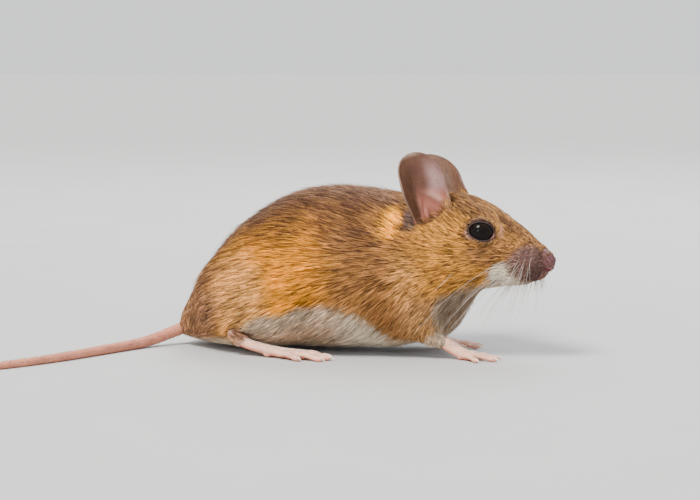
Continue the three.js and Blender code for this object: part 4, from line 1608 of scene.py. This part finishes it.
def coat_plan(points, normals):
    """Length, width, depth and number of tufts at each point of the body, and the share of guard hairs."""
    sizes = bpy.context.scene.mouse_coat
    x, y, z = points.T
    head = ease(11, 22, x)
    muzzle = ease(31, 37, x)
    back = ease(20, 27, z) * ease(18, 10, x)
    length = mix(mix(sizes.length_back / MM, sizes.length_head / MM, head), sizes.length_muzzle / MM, muzzle)
    length = length * mix(1.0, 0.8, ease(20, 9, z) * ease(16, 8, x))
    length = mix(length, 2.1, blot(points, (15, 9.5, 28), (4, 6, 4.5), 0.4))
    width = mix(mix(sizes.width_back / MM, sizes.width_head / MM, head), 0.095, muzzle)
    number = mix(mix(sizes.tufts_back, sizes.tufts_head, head), 40.0, muzzle)
    oval = eye_distance(points)
    # The lower foreleg, the lids and the whisker pad have tufts of their own length, width and number.
    zones = [
        (leg_share(points), 1.5, 0.15, 26.0),
        (ease(2.3, 1.2, oval), 0.75, 0.11, 48.0),
        (whisker_pad_share(points), 1.05, 0.078, 14.0),
    ]
    for share, own_length, own_width, own_number in zones:
        length = mix(length, own_length, share)
        width = mix(width, own_width, share)
        number = mix(number, own_number, share)
    reach = mix(mix(1.16, 1.34, ease(38.6, 40, x)), 0.9, ease(20.9, 21.7, z))
    number = np.where((nose_distance(points) < reach) | (oval < 1.1), 0, number)
    number = number * mix(1.0, 0.12, ear_opening_share(points))
    number = number * mix(1.0, 0.45, ease(2.2, 0.9, z) * (normals[:, 2] < -0.6))
    full = mix(1.0, 1.35, back) * mix(1.0, 0.45, ease(-25, -32, x))
    strands = ease(6, 11, x) * ease(27, 22, x) * ease(19, 14, z) * ease(2, 5, z)
    guard = mix(mix(0.06, 0.14, back), 0.2, strands)
    breast = ease(16, 20, x) * ease(30, 26, x) * ease(18, 15, z) * ease(3, 6, z) * ease(9, 6, np.abs(y))
    length = length * mix(1.0, 1.5, breast)
    depth = coat_depth(points) * (full * mix(1.0, 2.0, breast))
    return {"length": length, "width": width, "depth": depth, "number": number, "guard": guard}


def spread_roots(ground, number, seed):
    """Roots scattered evenly by area and number: their triangles and shares of the triangles' corners."""
    triangles, points = ground["triangles"], ground["points"]
    corners = points[triangles]
    first_side, second_side = corners[:, 1] - corners[:, 0], corners[:, 2] - corners[:, 0]
    area = 0.5 * np.linalg.norm(np.cross(first_side, second_side), axis=1)
    weight = area * number[triangles].mean(axis=1)
    order = np.argsort(walk_order(corners.mean(axis=1)))
    total = np.cumsum(weight[order])
    count = int(total[-1])
    draw = np.random.default_rng(seed)
    chosen = order[np.searchsorted(total, (np.arange(count) + draw.random(count)) * total[-1] / count)]
    first, second = draw.random(count), draw.random(count)
    over = first + second > 1
    first, second = np.where(over, 1 - first, first), np.where(over, 1 - second, second)
    return chosen, np.stack([1 - first - second, first, second], 1)


def walk_order(points):
    """A number for each point such that neighbours in space mostly have neighbouring numbers."""
    low = points.min(axis=0)
    cells = np.clip((points - low) / 0.6, 0, 1023).astype(np.int64)
    order = np.zeros(len(points), np.int64)
    for bit in range(10):
        for axis in range(3):
            order |= ((cells[:, axis] >> bit) & 1) << (3 * bit + axis)
    return order


def on_skin(ground, points):
    """The nearest places of the ground, with the triangle of each."""
    places, found = np.empty_like(points), np.empty(len(points), int)
    find = ground["tree"].find_nearest
    for index, point in enumerate(points.tolist()):
        place, _, triangle, _ = find(point)
        places[index] = place
        found[index] = triangle
    return places, found


# How many near tufts a tuft picks its lock's leader from, and how many times longer than wide a lock is.
LOCK_CHOICES = 10
LOCK_STRETCH = 5.0


def led(roots, heading, leading_share, draw):
    """For each root the leading tuft of its lock. Locks are long and narrow, and run with the hair."""
    tree = place_tree(roots, np.flatnonzero(draw.random(len(roots)) < leading_share))
    near = np.array([[index for _, index, _ in tree.find_n(root, LOCK_CHOICES)] for root in roots])
    offset = roots[near] - roots[:, None]
    along = (offset * heading[:, None]).sum(axis=2)
    across = (offset**2).sum(axis=2) - along**2
    nearest = np.argmin(across + (along / LOCK_STRETCH) ** 2, axis=1)
    return near[np.arange(len(roots)), nearest]


# A tuft is two triangles of points and a tip: where along it each triangle lies, and its share of the width.
TUFT_SIDES = 3
TUFT_PLACES = (0.0, 0.5)
TUFT_GIRTHS = (0.9, 0.95)
TUFT_RINGS = len(TUFT_PLACES)
TUFT_POINTS = TUFT_RINGS * TUFT_SIDES + 1
TUFT_LIFT = 0.85

# A guard hair stands out of the coat: its length and depth, and its width, against those of other tufts.
GUARD_REACH = 1.35
GUARD_WIDTH = 0.62

# How many squares the OFBake map has along each side.
MAP_CELLS = 300

# The least height of a hair over the floor, in metres.
LOWEST_HAIR = 0.00003


def tuft_faces(count):
    """Faces of many tufts: sides, tips and root caps."""
    side = np.arange(TUFT_SIDES)
    after = (side + 1) % TUFT_SIDES
    last = (TUFT_RINGS - 1) * TUFT_SIDES
    tips = np.stack([last + side, last + after, np.full(TUFT_SIDES, TUFT_POINTS - 1)], 1)
    groups = (ring_faces(TUFT_RINGS, TUFT_SIDES), tips, side[::-1][None])
    start = (np.arange(count) * TUFT_POINTS)[:, None, None]
    return [(start + group[None]).reshape(-1, group.shape[1]) for group in groups]


def patch_map(piece, roots_uv):
    """Gives each tuft its own small square of the OFBake map, at its root's place on the skin's unwrap."""
    count = len(roots_uv)
    draw = np.random.default_rng(SEED)
    wanted = np.clip((roots_uv * MAP_CELLS).astype(int), 0, MAP_CELLS - 1)
    cell = wanted[:, 0] * MAP_CELLS + wanted[:, 1]
    # Tufts that share a square move to a free one near by, looking further each time.
    for radius in range(1, 40):
        _, first = np.unique(cell, return_index=True)
        double = np.ones(count, bool)
        double[first] = False
        if not double.any():
            break
        taken = np.zeros(MAP_CELLS * MAP_CELLS, bool)
        taken[cell[~double]] = True
        trial = np.clip(wanted + draw.integers(-radius, radius + 1, (count, 2)), 0, MAP_CELLS - 1)
        trial = trial[:, 0] * MAP_CELLS + trial[:, 1]
        cell = np.where(double & ~taken[trial], trial, cell)
    corner = np.stack([cell // MAP_CELLS, cell % MAP_CELLS], 1) / MAP_CELLS
    inset, reach = 0.15 / MAP_CELLS, 0.7 / MAP_CELLS
    steps = np.append(np.repeat(np.arange(TUFT_RINGS) / TUFT_RINGS, TUFT_SIDES), 1.0)
    corners = read(piece.data.loops, "vertex_index", 1, np.int32)[:, 0]
    tuft, local = corners // TUFT_POINTS, corners % TUFT_POINTS
    across = np.where(local == TUFT_POINTS - 1, 0.5, (local % TUFT_SIDES) / TUFT_SIDES)
    # The side that closes the ring ends at its full width instead of back at the start.
    wraps = np.zeros(len(corners))
    in_squares = count * (TUFT_RINGS - 1) * TUFT_SIDES * 4
    square_locals = local[:in_squares].reshape(-1, 4) % TUFT_SIDES
    last_side = (square_locals[:, 0] == TUFT_SIDES - 1)[:, None] & (square_locals == 0)
    wraps[:in_squares] = last_side.ravel()
    places = corner[tuft] + inset + reach * np.stack([np.clip(across + wraps, 0, 1), steps[local]], 1)
    layer = piece.data.uv_layers.new(name="OFBake")
    layer.data.foreach_set("uv", places.astype(np.float32).ravel())


def unwrap_place(points, centre_height):
    """Where a point lies on the skin's unwrap: its way along the body and its bearing round it."""
    bearing = np.arctan2(points[:, 1], points[:, 2] - centre_height) / (2 * math.pi) + 0.5
    return np.stack([points[:, 0], bearing], 1)


def grow(ground, plan, flow, seed, clump=0.3, slot="coat", chosen=None, leading=0.16):
    """Grows tufts on the ground and returns what the pieces are cut from."""
    draw = np.random.default_rng(seed)
    triangle, shares = spread_roots(ground, plan["number"], seed)
    corners = ground["triangles"][triangle]

    def at_root(values):
        weights = shares if values.ndim == 1 else shares[..., None]
        return (values[corners] * weights).sum(axis=1)

    roots = at_root(ground["points"])
    if chosen is not None:
        kept = chosen(roots, draw)
        shares, corners, roots = shares[kept], corners[kept], roots[kept]
    count = len(roots)
    normal = unit(at_root(ground["normals"]))
    heading = unit(at_root(flow))
    length = at_root(plan["length"]) * draw.uniform(0.72, 1.22, count)
    width = at_root(plan["width"]) * draw.uniform(0.75, 1.2, count)
    depth = at_root(plan["depth"]) * draw.uniform(0.72, 1.12, count) * TUFT_LIFT
    is_guard = draw.random(count) < at_root(plan["guard"])
    length = np.where(is_guard, length * GUARD_REACH, length)
    width = np.where(is_guard, width * GUARD_WIDTH, width)
    depth = np.where(is_guard, depth * GUARD_REACH, depth)
    stray = 0.13 * ripples(roots, 7.0, seed + 1) + 0.1 * ripples(roots, 2.2, seed + 2)
    stray = stray + draw.normal(0, 0.09, count)
    heading = unit(heading * np.cos(stray)[:, None] + np.cross(normal, heading) * np.sin(stray)[:, None])
    # Each tuft is laid over the skin in two steps, so that it follows a round form.
    triangle_normal = unit(ground["normals"][ground["triangles"]].mean(axis=1))
    triangle_flow = unit(flow[ground["triangles"]].mean(axis=1))
    middle, found = on_skin(ground, roots + heading * (length * 0.5)[:, None])
    next_heading = unit(mix(heading, triangle_flow[found], 0.6))
    tip, found_tip = on_skin(ground, middle + next_heading * (length * 0.5)[:, None])
    middle_normal, tip_normal = triangle_normal[found], triangle_normal[found_tip]
    tip = tip + tip_normal * depth[:, None]
    # Tips draw together in locks.
    leader = led(roots, heading, leading, draw)
    pull = np.clip(clump * draw.uniform(0.5, 1.5, count), 0, 0.9)[:, None]
    aside = tip[leader] - tip
    aside = aside - heading * dot(aside, heading)[:, None]
    tip = tip + aside * pull
    middle = middle + aside * (pull * 0.3)
    rise = 0.62 + 0.16 * draw.random(count)
    middle = middle + middle_normal * (depth * rise)[:, None]
    start = roots - normal * (0.12 + 0.06 * depth)[:, None]
    # A curve that starts at the root, passes near the middle and ends at the tip.
    control = 2 * middle - 0.5 * (start + tip)
    angles = math.pi / 2 + 2 * math.pi * np.arange(TUFT_SIDES) / TUFT_SIDES
    blocks = []
    for place, size in zip(TUFT_PLACES, TUFT_GIRTHS):
        centre = start * (1 - place) ** 2 + control * (2 * place * (1 - place)) + tip * place**2
        tangent = unit((control - start) * (1 - place) + (tip - control) * place)
        aside = unit(np.cross(tangent, mix(normal, tip_normal, place)))
        upward = np.cross(aside, tangent)
        reach = (width * size * 0.5)[:, None]
        for angle in angles:
            blocks.append(centre + reach * (math.cos(angle) * aside + 0.75 * math.sin(angle) * upward))
    tone, ticked, pale = markings(roots, normal)
    return {
        "points": np.stack([*blocks, tip], axis=1),
        "roots": roots,
        "chance": draw.random(count),
        "lock": np.where(is_guard, draw.uniform(0.6, 1.0, count), draw.random(count)[leader]),
        "ticked": ticked,
        "tone": tone,
        "pale": pale,
        "slot": slot,
    }


def coat_piece(name, tufts, chosen, centre_heights):
    """One piece of the coat from the chosen tufts, set in the row frame."""
    points = tufts["points"][chosen]
    count, size = points.shape[:2]
    above = in_frame(points.reshape(-1, 3))
    above[:, 2] = np.maximum(above[:, 2], LOWEST_HAIR)
    piece = mesh_piece(name, above, tuft_faces(count))
    flat = unwrap_place(tufts["roots"][chosen], centre_heights[chosen])
    low, high = flat.min(axis=0), flat.max(axis=0)
    patch_map(piece, (flat - low) / np.maximum(high - low, 1e-6))
    along = np.append(np.repeat(TUFT_PLACES, TUFT_SIDES), 1.0)
    set_attribute(piece, "along", np.tile(along, count))
    for label in HAIR_VALUES[1:]:
        set_attribute(piece, label, np.repeat(tufts[label][chosen], size))
    set_attribute(piece, "tone", np.repeat(tufts["tone"][chosen], size, axis=0))
    piece.data.materials.append(coat_material())
    shade_smooth(piece)
    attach(piece, "root")


def whole_piece(name, tufts, tone, pale, ticked, centre_height):
    """All of the tufts as one piece, in a tone of its own."""
    count = len(tufts["roots"])
    tufts["tone"] = np.broadcast_to(tone, (count, 3))
    tufts["pale"] = np.broadcast_to(pale, (count,))
    tufts["ticked"][:] = ticked
    coat_piece(name, tufts, np.ones(count, bool), np.full(count, centre_height))


def cut_along(tufts, names):
    """Shares the tufts out between pieces from the tail to the nose, each with as many tufts."""
    x = tufts["roots"][:, 0]
    bounds = np.quantile(x, np.linspace(0, 1, len(names) + 1))
    heights = np.interp(x, SPINE[:, 0], SPINE[:, 1])
    for index, name in enumerate(names):
        last = index == len(names) - 1
        chosen = (x >= bounds[index]) & ((x <= bounds[index + 1]) if last else (x < bounds[index + 1]))
        coat_piece(f"coat_{name}", tufts, chosen, heights)


def thinned(plan):
    return plan
    return {**plan, "number": plan["number"] * 0.3, "width": plan["width"] * 1.7}


def body_ground():
    ground = LAID["ground"]
    if "flow" not in ground:
        ground["flow"] = body_flow(ground["points"], ground["normals"])
        ground["plan"] = coat_plan(ground["points"], ground["normals"])
    return ground


# Where the long coat of the body gives way to the short coat of head and legs, in millimetres along X.
COAT_CHANGE = 17.0


# The place above each heel where the haunch's hair ends: centre, half sizes and softness.
HEEL = ((-21.4, 14, 5.0), (2.0, 4.5, 2.2), 0.5)


def is_short_coat(roots, draw):
    return roots[:, 0] + draw.normal(0, 1.5, len(roots)) > COAT_CHANGE


def is_long_coat(roots, draw):
    return ~is_short_coat(roots, draw)


class MOUSE_OT_grow_body_coat(bpy.types.Operator):
    """Grows the long coat over rump, flanks, back and shoulders"""

    bl_idname = "mouse.grow_body_coat"
    bl_label = "Grow the body's coat"

    def execute(self, context):
        ground = body_ground()
        clump = context.scene.mouse_coat.clump
        tufts = grow(ground, thinned(ground["plan"]), ground["flow"], SEED, clump, chosen=is_long_coat)
        cut_along(tufts, ["rump", "hips", "loins", "flanks", "ribs", "shoulders"])
        return {"FINISHED"}


class MOUSE_OT_grow_head_coat(bpy.types.Operator):
    """Grows the short coat over head, throat and forelegs"""

    bl_idname = "mouse.grow_head_coat"
    bl_label = "Grow the head's coat"

    def execute(self, context):
        ground = body_ground()
        plan, flow = thinned(ground["plan"]), ground["flow"]
        clump = context.scene.mouse_coat.clump * 0.8
        tufts = grow(ground, plan, flow, SEED + 10, clump, chosen=is_short_coat, leading=0.26)
        cut_along(tufts, ["nape", "cheeks", "face"])
        return {"FINISHED"}


def even_plan(ground, length, width, depth, number):
    """A plan without guard hairs; each value is one number or one for each point of the ground."""
    count = (len(ground["points"]),)
    values = {"length": length, "width": width, "depth": depth, "number": number, "guard": 0.0}
    return {label: np.broadcast_to(np.asarray(value, float), count) for label, value in values.items()}


def slid(direction, normals):
    """A direction laid along the skin at each point."""
    return unit(direction - normals * dot(direction, normals)[:, None])


class MOUSE_OT_grow_fine_hair(bpy.types.Operator):
    """Grows the down on the ears and the fine hair on feet and tail"""

    bl_idname = "mouse.grow_fine_hair"
    bl_label = "Grow the fine hair"

    def execute(self, context):
        for name in SIDES:
            self.ear_down(name)
        self.feet_hair()
        self.tail_hair()
        return {"FINISHED"}

    def ear_down(self, name):
        """Short down outside and at the rim, thin inside, and longer hair low on the front edge."""
        coat, flesh = bpy.context.scene.mouse_coat_colours, bpy.context.scene.mouse_flesh_colours
        ground = LAID["parts"][f"ear_{name}"]
        heights, sweep, depth = ear_place(ground["points"], name)
        outside = ease(0.1, 0.24, depth)
        number = mix(9.0 * ease(-0.1, 0.35, sweep) + 1.5, 18.0, outside) * ease(-0.02, 0.08, heights)
        number = number + 12 * ease(0.86, 0.98, np.maximum(np.abs(sweep), heights)) * outside
        fringe = ear_fringe(heights, sweep)
        sizes = (mix(short, long, fringe) for short, long in ((0.75, 2.3), (0.045, 0.11), (0.07, 0.3)))
        plan = even_plan(ground, *sizes, number + 34 * fringe)
        up, _, _ = ear_axes(name)
        flow = slid(up * [1, SIDES[name], 1] + np.array([-0.5, 0, 0]) * fringe[:, None], ground["normals"])
        tufts = grow(ground, thinned(plan), flow, SEED + 20, slot="ear_skin")
        heights, sweep, _ = ear_place(tufts["roots"], name)
        fringe = ear_fringe(heights, sweep)
        brown = mix(np.array(flesh.ear_rear), np.array(coat.shoulder), 0.4)
        tone = mix(brown, np.array(coat.crown), np.sqrt(fringe)[:, None])
        whole_piece(f"down_ear_{name}", tufts, tone, mix(0.5, 0.0, fringe), 0.4, 30.0)

    def feet_hair(self):
        """Pale hair on top of the feet, and the haunch's longer hair reaching over the heel."""
        ground = LAID["parts"]["feet"]
        above = ease(-0.3, 0.3, ground["normals"][:, 2]) * ease(0.5, 1.0, ground["points"][:, 2])
        heel = blot(ground["points"], *HEEL)
        sizes = (mix(short, long, heel) for short, long in ((0.95, 2.2), (0.07, 0.13), (0.1, 0.5)))
        plan = even_plan(ground, *sizes, 9 * above + 22 * heel)
        flow = slid(np.array([1.0, 0, -0.35]), ground["normals"])
        tufts = grow(ground, thinned(plan), flow, SEED + 30, slot="pale_coat")
        shaded = blot(tufts["roots"], *HEEL)
        rump = np.array(bpy.context.scene.mouse_coat_colours.rump)
        tone = mix(np.array([0.86, 0.76, 0.68]), rump, shaded[:, None])
        whole_piece("hair_feet", tufts, tone, 1.0 - shaded, 0.0, 1.5)

    def tail_hair(self):
        """Sparse hair that lies towards the tail's tip."""
        ground = LAID["parts"]["tail"]
        plan = even_plan(ground, 0.9, 0.06, 0.1, 6.0 * ease(0.15, 0.5, ground["points"][:, 2]))
        flow = slid(tail_heading(ground["points"]), ground["normals"])
        tufts = grow(ground, thinned(plan), flow, SEED + 40, slot="bare_skin")
        whole_piece("hair_tail", tufts, np.array([0.5, 0.36, 0.28]), 0.8, 0.1, 1.0)


def tail_heading(points):
    """The tail's own direction, towards its tip, beside each point."""
    line = smooth_line(TAIL_PATH, np.linspace(0, 1, 120))
    tangent = unit(np.gradient(line, axis=0))
    nearest = np.argmin(((points[:, None, :2] - line[None, :, :2]) ** 2).sum(axis=2), axis=1)
    return tangent[nearest]


# ---- the studio


def floor_material():
    colours = (0.455, 0.46, 0.47, 1), (0.475, 0.48, 0.49, 1)
    return clouded_material("studio_floor", (30.0, 3.0), colours, (0.3, 0.7), (0.75, 0.9))


# Lights: bearing from the camera and height over level in degrees, distance, and width in metres. The sun's
# softness is in degrees.
SUN = {"aside": -42, "above": 54, "distance": 1.0, "softness": 22, "colour": (1.0, 0.95, 0.87)}
FILL = {"aside": -27, "above": 20, "distance": 0.6, "width": 0.1}
RIM = {"aside": 165, "above": 48, "distance": 0.6, "width": 0.4}
SKY_COLOUR = (0.97, 0.985, 1.0, 1)


class MOUSE_OT_set_stage(bpy.types.Operator):
    """Lays a plain pale floor and sets the lights and the camera"""

    bl_idname = "mouse.set_stage"
    bl_label = "Set the stage"

    def execute(self, context):
        studio = context.scene.mouse_studio
        bpy.ops.object.select_all(action="DESELECT")
        bpy.ops.mesh.primitive_circle_add(vertices=96, radius=4.0, fill_type="NGON")
        floor = context.object
        floor.name = "studio_floor"
        floor.data.materials.append(floor_material())
        sun = bpy.data.lights.new("sun", "SUN")
        sun.energy = studio.sun
        sun.angle = math.radians(SUN["softness"])
        sun.color = SUN["colour"]
        self.stand(sun, SUN)
        for name, place, power in (("fill", FILL, studio.fill), ("rim", RIM, studio.rim)):
            lamp = bpy.data.lights.new(name, "AREA")
            lamp.shape = "DISK"
            lamp.size = place["width"]
            lamp.energy = power
            self.stand(lamp, place)
        world = bpy.data.worlds.new("studio_room")
        world.use_nodes = True
        background = world.node_tree.nodes["Background"]
        background.inputs["Color"].default_value = SKY_COLOUR
        background.inputs["Strength"].default_value = studio.sky
        context.scene.world = world
        camera = bpy.data.cameras.new("photographer")
        camera.lens = studio.lens
        camera.sensor_width = 36
        camera.clip_start = 0.01
        context.scene.camera = self.stand(camera, {"aside": 0, "distance": studio.distance})
        return {"FINISHED"}

    def stand(self, data, place):
        """Stands a light or camera round the mouse, looking at it. Azimuth 0 is on the mouse's right."""
        studio = bpy.context.scene.mouse_studio
        thing = placed(data.name, data)
        azimuth = studio.azimuth + math.radians(place["aside"])
        above = math.radians(place["above"]) if "above" in place else studio.elevation
        level = math.cos(above)
        away = Vector((math.sin(azimuth) * level, -math.cos(azimuth) * level, math.sin(above)))
        thing.location = Vector(ORIGIN * MM) + Vector((0, 0, studio.aim)) + away * place["distance"]
        thing.rotation_euler = (-away).to_track_quat("-Z", "Y").to_euler()
        return thing


# ---- panel, registration and run

STEPS = [
    MOUSE_OT_set_stage,
    MOUSE_OT_model_skin,
    MOUSE_OT_set_eyes,
    MOUSE_OT_model_claws,
    MOUSE_OT_set_whiskers,
    MOUSE_OT_grow_body_coat,
    MOUSE_OT_grow_head_coat,
    MOUSE_OT_grow_fine_hair,
]


class MOUSE_PT_looks(bpy.types.Panel):
    """Lists the steps that dress the mouse"""

    bl_idname = "MOUSE_PT_looks"
    bl_label = "Field mouse"
    bl_space_type = "VIEW_3D"
    bl_region_type = "UI"
    bl_category = "Mouse"

    def draw(self, context):
        for step in STEPS:
            self.layout.operator(step.bl_idname)


PROPERTY_GROUPS = {
    "mouse_coat": MouseCoatSizes,
    "mouse_coat_colours": MouseCoatColours,
    "mouse_flesh_colours": MouseFleshColours,
    "mouse_whiskers": MouseWhiskerSizes,
    "mouse_studio": MouseStudioSettings,
}


def register():
    for kind in [*PROPERTY_GROUPS.values(), *STEPS, MOUSE_PT_looks]:
        bpy.utils.register_class(kind)
    for name, kind in PROPERTY_GROUPS.items():
        setattr(bpy.types.Scene, name, PointerProperty(type=kind))


def unregister():
    for name in PROPERTY_GROUPS:
        delattr(bpy.types.Scene, name)
    for kind in [MOUSE_PT_looks, *reversed(STEPS), *reversed(list(PROPERTY_GROUPS.values()))]:
        bpy.utils.unregister_class(kind)


def main():
    register()
    for step in STEPS:
        group, name = step.bl_idname.split(".")
        getattr(getattr(bpy.ops, group), name)()


if __name__ == "__main__":
    main()
